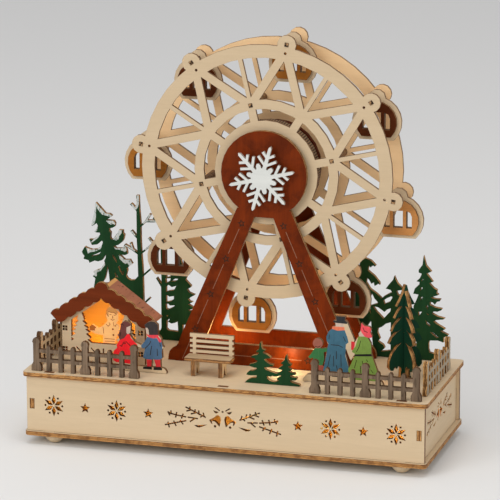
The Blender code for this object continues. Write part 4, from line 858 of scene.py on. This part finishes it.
def snow_fir():
    """The tall snowy fir at the left and the areas of snow on its boughs."""
    right = [
        (15, 128.8), (19.5, 124.3), (24.5, 118.8), (28.5, 118.8), (31, 116.8), (29, 115.3),
        (25.5, 112.6), (32.5, 112.3), (34, 109.8), (33.5, 106.8), (31, 105.3), (28, 104.8),
        (28, 102.3), (29.5, 100.8), (29, 96.3), (29.5, 94.3), (31.5, 94.3), (36.5, 101.3),
        (37.5, 103.8), (41.5, 103.8), (41.5, 100.8), (43, 99.3), (42, 94.8), (40.5, 92.3),
        (37, 89.3), (32.5, 87.8), (34.5, 85.8), (40.5, 86.3), (43.5, 89.8), (45.5, 82.8),
        (45.5, 80.8), (43.5, 79.8), (38, 79.8), (39.5, 78.3), (43, 75.3), (48, 75.8),
        (50.5, 71.8), (47.5, 69.3), (45, 67.3), (45.5, 64.8), (44, 59.8), (45.5, 57.3),
        (48.5, 55.8), (52.5, 56.3), (56, 60.3), (56, 40), (38, 36), (32, 4), (13, 4)]
    left = [
        (12, 46.8), (13.5, 55.3), (11, 56.8), (13, 59.3), (11.5, 61.3), (19, 64.8), (23.5, 69.8),
        (22.5, 72.8), (24, 75.8), (24.5, 79.8), (20.5, 73.3), (16.5, 71.8), (13, 72.3), (8, 69.8),
        (7, 72.3), (2, 73.3), (3, 76.3), (1.5, 77.8), (0.5, 80.3), (3.5, 85.3), (6, 83.8),
        (10.5, 82.8), (15.5, 83.8), (19.5, 85.8), (20.5, 87.8), (21.5, 90.8), (20.5, 92.3),
        (16, 88.3), (10.5, 87.3), (9, 90.8), (8, 92.8), (11.5, 92.8), (15.5, 95.3), (19, 97.8),
        (18.5, 99.8), (15, 99.8), (13, 100.3), (15, 103.3), (17, 105.8), (15.5, 108.8),
        (11.5, 105.8), (10, 106.3), (11, 110.3), (12.5, 114.8), (13.5, 119.3), (14.5, 127.3)]
    holes = [
        [(26, 68.8), (26.5, 64.3), (27, 60.8), (28, 51.3), (20, 50.8), (23, 55.3), (24.5, 61.3)],
        [(10, 76.8), (16.5, 79.8), (19.5, 81.3), (17, 78.3), (10.5, 76.3)],
        [(31, 79.8), (32.5, 78.3), (35, 74.3), (35, 71.8), (31.5, 76.8)],
        [(36.5, 68.3), (38, 69.3), (38.5, 66.3), (41.5, 60.8), (40.5, 60.3), (38, 63.8)],
        [(41, 63.8), (42, 64.8), (42, 60.3)], [(33, 63.8), (34, 61.3), (36.5, 57.8), (34, 57.8)]]
    snow = [
        [
            (15, 128.8), (14.5, 126.8), (13.5, 119.3), (11, 110.3), (10, 106.3), (11.5, 106.3),
            (13.5, 108.8), (14.5, 112.3), (15, 115.3), (15, 119.8), (15.5, 124.8), (17, 122.3),
            (19, 119.8), (21.5, 117.3), (25, 116.8), (29.5, 115.8), (30.5, 117.3), (28.5, 118.8),
            (24.5, 118.8), (19.5, 123.8)],
        [
            (25, 111.8), (32, 112.3), (34, 109.8), (33.5, 108.3), (32, 109.3), (29.5, 108.3),
            (27.5, 109.3)],
        [(16.5, 105.8), (15, 103.3), (13, 100.3), (14.5, 99.8), (16, 102.3)],
        [
            (18.5, 97.8), (15.5, 95.3), (12.5, 93.3), (10, 90.3), (10.5, 89.8), (14, 92.3),
            (17, 94.8)],
        [
            (5, 84.3), (6.5, 78.8), (9, 80.3), (12, 80.8), (16, 82.3), (19.5, 84.3), (20.5, 86.8),
            (15.5, 83.8), (10.5, 82.8)],
        [
            (31.5, 94.3), (34.5, 97.8), (36.5, 101.3), (37.5, 103.8), (40.5, 103.8), (40, 100.8),
            (38, 97.8), (37, 94.8), (34.5, 93.3)],
        [
            (32, 87.3), (34, 84.8), (37, 84.8), (41, 83.8), (43.5, 82.8), (45, 84.8),
            (43.5, 89.3), (40.5, 86.3), (34.5, 85.8)],
        [
            (37, 79.3), (39.5, 78.3), (43, 75.3), (48, 75.8), (50.5, 71.8), (47.5, 69.3),
            (45.5, 72.3), (43.5, 71.3), (41, 72.8), (38, 75.8)],
        [
            (23, 70.8), (19, 64.8), (15, 63.3), (11.5, 61.3), (13, 59.3), (11.5, 56.8),
            (15, 57.3), (15, 60.8), (19, 62.8), (21, 65.8), (23.5, 68.8)]]
    return [("green", right + left)] + cuts(holes) + [("snow", s) for s in snow]


def bare_trunk():
    """The bare tree beside the snowy fir, with snow at its tip."""
    trunk = [
        (57.5, 138.3), (58, 124.3), (59, 111.8), (59, 95.8), (59.5, 82.8), (60.5, 69.8),
        (61, 47.3), (61.5, 4), (53.5, 4), (56, 60.3), (55.5, 83.8), (55, 95.3), (55, 124.3),
        (55, 138.3)]
    twigs = (
        [(50, 129.3), (54.5, 124.8), (56, 123)], [(57, 107), (64, 113.8), (68, 120.3)],
        [(64.5, 113.8), (74, 114.3)], [(72, 117.3), (74, 115.3)], [(50, 103.3), (55.5, 97.3)],
        [(58, 81.5), (70.5, 92.8)], [(67, 97.3), (73, 91.3)],
        [(57, 81.5), (49.5, 86.3), (43.5, 89.3)], [(49, 91.3), (50.5, 86.8)],
        [(59.5, 60), (67.5, 67.3)], [(59.5, 32), (66.6, 39.1)])
    areas = [("green", trunk)] + strokes("green", twigs, BARE_TWIG)
    tip = [
        (55, 138.3), (57.5, 138.3), (57.5, 130.3), (56.5, 126.8), (54.5, 124.3), (52.5, 124.8),
        (50, 129.3), (51, 129.8), (54, 126.3), (55, 130.8)]
    areas.append(("snow", tip))
    snowy_twigs = (
        [(62, 112), (64.5, 114.3), (68, 120)], [(65, 114.5), (73.8, 114.8)],
        [(50.3, 103), (53.5, 99.5)], [(63.5, 86.6), (70.2, 92.6)], [(67.3, 97), (72.7, 91.7)],
        [(44, 89.2), (49.5, 86.6), (52.5, 84.8)], [(49.2, 90.8), (50.6, 87)])
    areas += strokes("snow", snowy_twigs, SNOW_ON_TWIG)
    for u, v in ((67.8, 120), (73.4, 114.4), (50.4, 102.8), (72.4, 91.9), (67.4, 96.9)):
        areas.append(("snow", circle(u, v, 1.1, 8)))
    return areas


def dark_fir():
    """The second trunk with a dark fir grown against it."""
    trunk = [
        (73.5, 59.5), (78.5, 51.5), (78.5, 12), (76, 4), (83, 4), (84, 60), (79.1, 100),
        (78, 100), (79, 54), (74.5, 60.5)]
    fir = [
        (96, 87), (99.8, 73), (104.8, 65), (102.5, 60), (108, 54.5), (107.5, 53), (104, 51),
        (106, 48), (111.5, 46), (107.5, 43.5), (105, 41.5), (106.5, 39.5), (109.5, 39),
        (105, 36.5), (109.5, 34), (109, 32), (105.5, 31.5), (106, 30), (109, 30.5), (108, 27.5),
        (103, 16.5), (99.5, 16), (99, 4), (81, 4), (81, 60), (88, 62), (87.2, 65), (92.2, 73)]
    holes = [
        [(83, 60), (88, 60.5), (87.5, 58), (83.5, 55.5)],
        [(88.5, 57.5), (92.5, 60.5), (95.5, 60.5), (93, 58)],
        [(83.5, 52), (86, 54), (89, 52), (93.5, 53.5), (91, 49), (85.5, 48), (83.5, 47)],
        [(83.5, 44), (84.5, 44), (86.5, 42.5), (91, 43.5), (91, 40.5), (88.5, 38.5), (83.5, 37)],
        [(83, 35.5), (85.5, 35.5), (87, 34), (92, 34.5), (90, 32.5), (85.5, 30), (83.5, 30.5)],
        [(83.5, 24), (85.5, 24.5), (84.5, 23)],
        [
            (84, 19.5), (87, 21), (85, 18), (88.5, 16.5), (92, 17.5), (94.5, 19), (95, 9),
            (85.5, 9.5), (83.5, 11.5)]]
    return [("green", fir), ("green", trunk)] + cuts(holes)


def right_firs():
    """Four firs of different heights, seen through between their boughs."""
    right_fir = [
        (67, 99.3), (69.5, 90.3), (72.5, 86.8), (74.5, 84.8), (70, 82.8), (73.5, 78.3),
        (76, 75.3), (72.5, 73.8), (77, 69.3), (80, 67.8), (79.5, 64.8), (81.5, 63.3), (74, 60.3),
        (78.5, 59.3), (83.5, 59.3), (82.5, 57.3), (80, 56.8), (78, 53.8), (76, 55.8),
        (73.5, 56.3), (73.5, 53.3), (78, 51.3), (85, 50.3), (84, 48.8), (80.5, 47.3), (77, 47.3),
        (75.5, 45.3), (80.5, 42.8), (87.5, 41.3), (86, 40.3), (79.5, 39.3), (77, 37.8),
        (80.5, 35.3), (88, 31.3), (86, 29.8), (83, 29.3), (91, 25.8), (90, 24.3), (86.5, 23.3),
        (86.5, 18.3), (81.5, 19.8), (73.5, 19.3), (72.5, 16.8), (72.5, 11.3), (73.5, 7.8),
        (78, 6.8), (77.5, 1.3), (60.5, 4.3), (61, 18.3), (55, 21.3), (53.5, 27.3), (57, 33.3),
        (51.6, 40.3), (57.5, 45.3), (58, 51.3), (60.5, 56.8), (62.5, 62.3), (57.5, 62.8),
        (59, 67.8), (63, 71.8), (63.5, 74.3), (60.5, 74.8), (63.5, 77.8), (65.5, 82.3),
        (62.5, 83.3), (62.5, 85.8), (66, 90.8)]
    middle_fir = [
        (39.5, 78.3), (41, 74.8), (42.5, 71.8), (46.5, 67.8), (48.5, 65.8), (41.5, 64.3),
        (43, 60.8), (47.5, 58.3), (45, 53.8), (55.5, 52.3), (47, 46.3), (54.5, 42.3), (50, 36.3),
        (46, 30), (47, 16), (46, 4), (20, 4), (18, 30), (17, 48.3), (24, 51), (27.5, 55.8),
        (30, 58.3), (35, 61.3), (37.5, 62.8), (36, 64.8), (31.5, 65.8), (34, 69.3), (38.5, 74.8)]
    left_fir = [
        (10, 106), (12, 93.3), (17.5, 91.3), (22, 86.8), (21, 85.8), (19.5, 86.8), (17, 84.8),
        (15.5, 86.8), (14.5, 81.8), (21, 76.8), (25.5, 71.3), (26, 68.8), (24.5, 69.8),
        (21, 67.3), (20, 70.8), (18, 69.3), (15.5, 73.3), (13.5, 74.8), (13, 70.3), (17, 64.3),
        (23, 60.3), (27.5, 56.3), (27.5, 54.3), (25.5, 49.8), (23.5, 52.8), (21, 55.3),
        (18.5, 60.3), (14, 50), (19, 36), (12.5, 26), (14, 18), (13, 4), (8, 4), (8, 16),
        (2.5, 14), (-2.5, 18), (1, 36), (-2, 50), (3, 60), (2, 76), (8, 91)]
    holes = [
        [(65, 76.3), (67.5, 77.3), (65.5, 75.3)], [(64.5, 69.3), (66.5, 69.3), (64.5, 65.8)],
        [(64.5, 60.3), (66.5, 60.3), (64.5, 56.8)], [(69.5, 52.3), (71.5, 52.3), (71.5, 48.3)],
        [(62.5, 45.8), (66, 46.3), (63, 41.8)], [(70.5, 45.3), (73, 43.8), (71, 43.8)],
        [(69.5, 38.3), (74, 34.3), (73.5, 32.8), (70.5, 34.8)],
        [(74, 27.3), (76.5, 27.3), (82, 22.8), (80, 22.3)],
        [(29.5, 54.3), (33, 56.8), (37, 58.8), (38, 57.8), (35.5, 53.3), (30.5, 50.8)],
        [
            (27.5, 45.3), (30.5, 43.3), (33, 45.8), (36.5, 47.3), (36, 44.3), (29.5, 36.8),
            (23.5, 42.8), (19, 48.3), (24.5, 47.3)],
        [
            (24.5, 27.3), (28, 28.8), (32, 32.3), (36.5, 33.8), (36.5, 6.8), (27.5, 5.3),
            (31, 8.8), (29.5, 11.8), (24.5, 14.8), (26.5, 17.3), (24, 23.3)],
        [(42, 16.3), (46, 16.8), (43.5, 12.3), (42, 11.8)]]
    areas = [("green", fir) for fir in (left_fir, middle_fir, right_fir)]
    strip = ("green", rect(0.0, GLUE_LINE, TREES_RIGHT_LENGTH, 5.3))
    return areas + cuts(holes) + [strip]


def small_firs():
    """A bigger and a smaller fir, grown together, with an opening between their lowest boughs."""
    outline = [
        (15.5, -0.2), (16.2, 1.1), (18, 2.9), (20.1, 4.1), (22.1, 5), (26.1, 5.3), (26.8, 6.8),
        (26.4, 7.6), (21.5, 7.2), (19.1, 7.2), (16.8, 7.8), (18, 9.8), (20.1, 11.5), (22.9, 11.8),
        (25, 12.6), (27, 13.9), (26.4, 14.8), (24.5, 14.7), (21.1, 15.6), (19.5, 16.4),
        (19.7, 17.4), (23.3, 18.6), (25.8, 19.5), (27.2, 20.8), (27, 21.7), (25, 22.1),
        (24.8, 23.5), (21.9, 23.8), (21.2, 24.4), (21.9, 25.5), (24.4, 26.4), (27.2, 27.1),
        (28.8, 28.4), (28.2, 29.2), (26.2, 29.5), (26.2, 30.4), (28.2, 31.8), (29.1, 33.6),
        (29.3, 37.8), (30.1, 39), (31, 38.5), (31.3, 34.5), (32.1, 32.7), (34.3, 32.1),
        (34.5, 31.4), (32.1, 29.8), (33.3, 28.7), (35.5, 28.1), (37.7, 26.9), (40.1, 25.4),
        (38.7, 24.4), (35.5, 23.9), (33.8, 23.3), (34.1, 22.4), (36.2, 20.5), (38.7, 19.1),
        (42.1, 18.9), (41.8, 17.1), (39.7, 17.1), (37.9, 16.2), (34.1, 15.7), (33.8, 15.1),
        (35.5, 13.4), (38.3, 12.6), (41.1, 11.8), (44.3, 11), (45.7, 11.1), (48.1, 12.4),
        (50.2, 13.6), (50.5, 14.6), (46.5, 15.4), (48.1, 16.9), (50.5, 18.5), (51.4, 19.7),
        (49, 20.3), (49.8, 21.6), (52, 23.2), (52.6, 24.3), (53.2, 27.1), (54.4, 29),
        (54.8, 28.3), (55.1, 25.2), (56, 22.7), (57.2, 21.2), (59, 20.1), (58.6, 18.8),
        (56.2, 18.9), (56.2, 17.9), (57.8, 16.3), (59.4, 15.7), (58.9, 14.5), (56.4, 14.1),
        (56.8, 13.4), (59.2, 12.7), (62.2, 12.5), (62.6, 11.1), (60.6, 10.6), (58.2, 10.2),
        (57.8, 9.3), (60, 8.7), (64.3, 8.1), (64.1, 6.6), (62.7, 5.9), (57.8, 5.3), (58.2, 4.3),
        (60.6, 3.3), (63.4, 2.7), (66.5, 2), (67.1, 1.2), (66.5, 0.3), (15.5, 0.3)]
    opening = [
        (35.9, 7.9), (37.6, 7.7), (40.1, 7.5), (41.5, 8.6), (42.1, 7.9), (45.3, 7.9), (47.7, 9.2),
        (50.2, 9.4), (47.4, 7.4), (46, 6.6), (45.7, 5.1), (47.7, 4.3), (45.3, 3.5), (43.5, 2.7),
        (40.7, 3), (38.3, 3.9), (36.7, 5.4)]
    return [("green", outline), (None, opening)]


def tree_plates():
    """The two tree panels at the back and the small firs at the front."""
    low, high = box_mm("trees_left")
    strip = ("green", rect(0.0, GLUE_LINE, high[X] - low[X], 8.3))
    for node, areas, start in (
            ("trees_left", snow_fir() + bare_trunk() + dark_fir() + [strip], low[X]),
            ("trees_right", right_firs(), TREES_RIGHT_X),
            ("firs_small", small_firs(), 0.0)):
        plate(node, placed(areas, start), "green", "dark_green_paint", own_outline=True)


# figures


def children_paint():
    """The girl in hood and coat, the boy in cap, scarf and coat."""
    areas = [
        ("red_coat", [
            (-112.6, 14.3), (-110.6, 18.5), (-107.7, 21.5), (-108.5, 23.1), (-105.4, 29.5),
            (-100.8, 31), (-97.9, 35.3), (-95.6, 35.6), (-94.4, 31.7), (-90.4, 27.6),
            (-88.2, 25.6), (-89, 23.2), (-94.6, 21), (-94.6, 6.9), (-108.9, 7.6), (-112.6, 9.9)]),
        ("hood", [
            (-95.5, 47.4), (-101.4, 47.4), (-105.6, 44.3), (-105.8, 38), (-107.6, 32.6),
            (-105.4, 28.6), (-100.8, 31), (-97.9, 35), (-98.7, 36.4), (-98.6, 41.3),
            (-96.2, 42.3), (-93.2, 43.8)]),
        ("skin", [
            (-98.6, 41.3), (-96.2, 42.3), (-93.6, 41.8), (-93.6, 38.8), (-94.6, 35.8),
            (-97.9, 35), (-98.7, 36.4)]),
        ("cap", [
            (-82.4, 44.9), (-78.4, 48.4), (-74.9, 49.6), (-71.2, 49), (-67.6, 46.2),
            (-67.6, 36.3), (-77, 35.7), (-77.4, 40.5), (-78.6, 42.4), (-81.4, 42.2)]),
        ("skin", [
            (-80.8, 42.3), (-78.6, 42.4), (-77.4, 40.5), (-77, 36.6), (-79.8, 35.9),
            (-80.8, 38.3)]),
        ("blue_coat", [
            (-79.4, 33.9), (-77.5, 33.6), (-73, 32.8), (-69.7, 33.4), (-67.3, 29.6), (-65.2, 33),
            (-63.6, 26.6), (-64.5, 25.3), (-63.8, 14), (-66.6, 13.2), (-74.4, 12.4),
            (-83.6, 12.8), (-83.6, 15), (-81.2, 22), (-83.1, 21.6), (-84.9, 24.9), (-81.4, 29.3)]),
        ("scarf", [
            (-80, 36.7), (-77, 35.7), (-67.8, 36.5), (-68.5, 33.9), (-73, 32.8), (-77.5, 33.6)]),
        ("scarf", [(-69.7, 33.8), (-68.1, 34.8), (-65, 31.4), (-65.6, 29.7), (-67.3, 29.6)]),
        ("trousers", [(-80, 12.4), (-74.4, 12.6), (-74.9, 6.1), (-79.6, 5.7)]),
        ("trousers", [(-72.8, 12.7), (-66.1, 13.2), (-65.7, 6.4), (-70.9, 6)]),
        ("shoes", [(-83.1, 5.1), (-79.2, 5.8), (-74.5, 6), (-74.4, 3.1), (-83.1, 3.2)]),
        ("shoes", [(-73.1, 5.4), (-70.4, 6.1), (-65, 6.5), (-64.8, 3.2), (-73.1, 2.9)])]
    lines = (
        [(-104.9, 23.6), (-103.1, 23.1), (-102.9, 24.6), (-101.9, 25.6), (-99.6, 25.9)],
        [(-101.9, 26.8), (-98.8, 27.5), (-95.1, 24.2)], [(-102.5, 44), (-101.4, 43.2)],
        [(-104, 36), (-104.9, 32.6)], [(-75.5, 29.7), (-76.7, 27.2), (-80.8, 22.8)],
        [(-74.7, 25.3), (-76, 17.2)], [(-69.4, 22.9), (-69.1, 16.9)],
        [(-66.9, 29.2), (-66.1, 26)])
    return placed(areas + strokes("scorch", lines, CHILDREN_LINE))


def family_paint():
    """A child in a jumper, a man in top hat and coat, a lady in hat and dress."""
    areas = [
        ("jumper", [
            (74.6, 31.9), (82.4, 33.2), (89, 33.6), (89, 29), (84.6, 28.6), (84.9, 17.3),
            (80.7, 16.1), (74.1, 21.6), (69, 20.8), (69.2, 25), (72.3, 27.3)]),
        ("child_hair", circle(78.7, 37.1, 4.9, 22)),
        ("brown_legs", [(74.2, 21.4), (80.7, 16.1), (84.9, 17.3), (84.9, 8), (74.2, 8)]),
        ("teal_coat", [
            (91.9, 51.8), (97.2, 50.2), (103.7, 51), (106.2, 44.8), (107.4, 40), (104.9, 37.7),
            (104.5, 27), (108.9, 11.6), (92, 10), (83.6, 11.2), (86.6, 25.5), (88.6, 37.6),
            (86.1, 41), (86.1, 44.9), (88.6, 49.2)]),
        ("collar", [(91.8, 53.8), (103.4, 53.8), (103.9, 51), (97.2, 50), (91.8, 51.3)]),
        ("skin", [(95.1, 57.4), (103, 57.6), (102.5, 53.8), (95.3, 53.8)]),
        ("hat", [
            (95.4, 64.2), (104.9, 64.2), (104, 59.9), (106.6, 59.3), (105.8, 56.9), (101.3, 57.1),
            (92.6, 57.3), (92.9, 59.4), (96, 59.4)]),
        ("shoes", [(91.8, 9.9), (98.4, 9.9), (98.4, 6.6), (91.8, 6.6)]),
        ("shoes", [(100, 10.6), (106.6, 11.2), (106.6, 6.6), (100, 6.6)]),
        ("green_dress", [
            (116.6, 46.4), (125.6, 46.4), (129, 41.2), (129, 30.3), (130.3, 26), (136, 12.7),
            (135.2, 5.4), (108.6, 5.4), (107, 15), (112.9, 27.7), (113.2, 29.8), (110.6, 31.2),
            (110.8, 33.6), (113.6, 36.2)]),
        ("skin", [(117, 50.9), (119.4, 49.8), (122.4, 46.4), (116.2, 46.2), (115.8, 48.2)]),
        ("pink_hat", [
            (119, 59.6), (122.2, 57), (127.4, 56.2), (129, 53.2), (128.3, 50.2), (130, 46.7),
            (128.6, 45), (122.6, 46.2), (119.7, 49.6), (117.6, 53.6)]),
        ("bag", [(109.8, 41), (113.4, 41), (112.9, 36.2), (111.4, 32.9), (109.8, 33.2)]),
        ("shoes", [(113, 29.2), (129.4, 30.8), (129.4, 28.6), (113, 27.3)])]
    lines = (
        [(76.4, 33.8), (78.9, 33.2), (81.3, 34.6)], [(89.5, 45.5), (89.2, 41.9)],
        [(102.6, 44.7), (104.4, 40.7)], [(91, 36.4), (97.9, 36.4), (101.7, 34.8)],
        [(90.5, 27), (88.4, 16.7), (87.2, 14.5)], [(96.1, 30.5), (96.1, 23.6)],
        [(100.3, 27.8), (100.6, 17.1)], [(93.4, 26.1), (93.8, 16.5)], [(96.1, 17.3), (97.3, 12)],
        [(120.8, 54.4), (122, 51.5), (124.7, 50.6)],
        [(118.5, 42.1), (117.1, 36.3), (114.7, 31.6)], [(114.8, 23.6), (113, 16.6)],
        [(120.1, 23.4), (120.7, 21.1)], [(124.2, 24.9), (125.1, 23.2)],
        [(118.4, 18.5), (118.7, 12.6)], [(128.1, 15.7), (130.2, 13.2)])
    return placed(areas + strokes("scorch", lines, ENGRAVED_LINE))


# lamps and light


def point_light(name, place, watts, colour):
    """A small warm light that shows only in what it lights."""
    radius = 4.0
    lamp = bpy.data.lights.new(name, "POINT")
    lamp.color = colour
    lamp.energy = watts
    lamp.shadow_soft_size = radius * MM
    light = bpy.data.objects.new(name, lamp)
    light.location = [c * MM for c in place]
    light.visible_camera = False
    bpy.context.scene.collection.objects.link(light)


def lamp_light():
    """Warm light in the base and the hut, between the stand frames and before them."""
    lamp_top = box_mm("lamp_wheel")[1][Z]
    for colour, lamps in (
            (WHEEL_LAMP, (("wheel_lamp_left", (-28.0, 21.0, lamp_top + 6.0), 0.048),
                          ("wheel_lamp_back", (-28.0, 36.0, lamp_top + 10.0), 0.018),
                          ("wheel_lamp_right", (62.0, 25.0, lamp_top + 12.0), 0.042))),
            (FIR_LAMP, (("fir_glow", (43.0, -13.0, 84.0), 0.030),)),
            (HUT_LAMP, (("hut_ridge", (HUT_X, -15.0, 118.0), 0.011),
                        ("hut_left", (-150.0, -8.0, 96.0), 0.004),
                        ("hut_right", (-104.0, -8.0, 100.0), 0.009),
                        ("hut_low", (-139.9, -9.0, 85.0), 0.004))),
            (BASE_LAMP, (("base_right", (95.0, -45.0, 40.0), 0.06),
                         ("base_middle", (0.0, 10.0, 40.0), 0.032),
                         ("base_left", (-120.0, 0.0, 40.0), 0.022),
                         ("base_far_right", (160.0, 10.0, 40.0), 0.03),
                         ("base_far_left", (-165.0, -30.0, 40.0), 0.012),
                         ("corner_glow", (128.0, -24.0, 76.0), 0.004)))):
        for name, place, watts in lamps:
            point_light(name, place, watts, colour)


# stage


def area_light(name, place, target, size, watts, colour=(1.0, 1.0, 1.0)):
    """A round studio lamp aimed at a target, in metres."""
    lamp = bpy.data.lights.new(name, "AREA")
    lamp.shape = "DISK"
    lamp.size = size
    lamp.energy = watts
    lamp.color = colour
    light = bpy.data.objects.new(name, lamp)
    light.location = place
    light.rotation_euler = (Vector(target) - Vector(place)).to_track_quat("-Z", "Y").to_euler()
    bpy.context.scene.collection.objects.link(light)


def stage():
    """A pale floor, soft daylight all round and three studio lamps."""
    floor_half = 9.0
    corners = [(-floor_half, -floor_half, 0), (floor_half, -floor_half, 0),
               (floor_half, floor_half, 0), (-floor_half, floor_half, 0)]
    s = Shader("pale_floor", 0.1)
    floor = add_mesh("floor", corners, [(0, 1, 2, 3)], [s.finish((0.74, 0.73, 0.71), 0.9)])

    world = bpy.data.worlds.new("studio")
    bpy.context.scene.world = world
    world.use_nodes = True
    background = world.node_tree.nodes["Background"]
    background.inputs["Color"].default_value = (0.96, 0.97, 1.0, 1.0)
    background.inputs["Strength"].default_value = 0.62

    middle = (0.0, 0.0, 0.15)
    area_light("key", (-1.3, -2.6, 1.7), middle, 1.8, 38.0)
    area_light("fill", (2.4, -1.6, 1.1), middle, 1.6, 13.0, (1.0, 0.94, 0.84))
    area_light("top", (0.1, -0.5, 2.7), middle, 1.6, 22.0)


def camera():
    """The photograph's viewpoint: a long lens from the front right, a little above."""
    azimuth, elevation, roll = (math.radians(a) for a in (16.323, 14.558, -0.166))
    distance = 3.2095
    target = Vector((0.005684, 0.0, 0.1791))
    data = bpy.data.cameras.new("camera")
    data.sensor_width = 36.0
    data.lens = 254.16
    data.clip_start = 0.5
    data.clip_end = 60.0
    view = bpy.data.objects.new("camera", data)
    back = Vector((math.sin(azimuth) * math.cos(elevation),
                   -math.cos(azimuth) * math.cos(elevation), math.sin(elevation)))
    view.location = target + back * distance
    view.rotation_mode = "QUATERNION"
    view.rotation_quaternion = Quaternion(back, roll) @ back.to_track_quat("Z", "Y")
    bpy.context.scene.collection.objects.link(view)
    bpy.context.scene.camera = view


camera()
stage()
bpy.context.scene.view_settings.view_transform = "Standard"
finish_nodes()
base_walls()
plate("a_frame_front", stand_engraving(), "red_brown", "red_brown_stain")
plate("children", children_paint(), "ply", "pale_plywood")
plate("family", family_paint(), "ply", "pale_plywood")
panes, whole_windows = hut_front_windows()
plate("hut_front", panes, "wall", "pale_plywood", hidden=whole_windows)
plate("hut_seller", seller_engraving(), "seller", "pale_plywood")
tree_plates()
lamp_light()
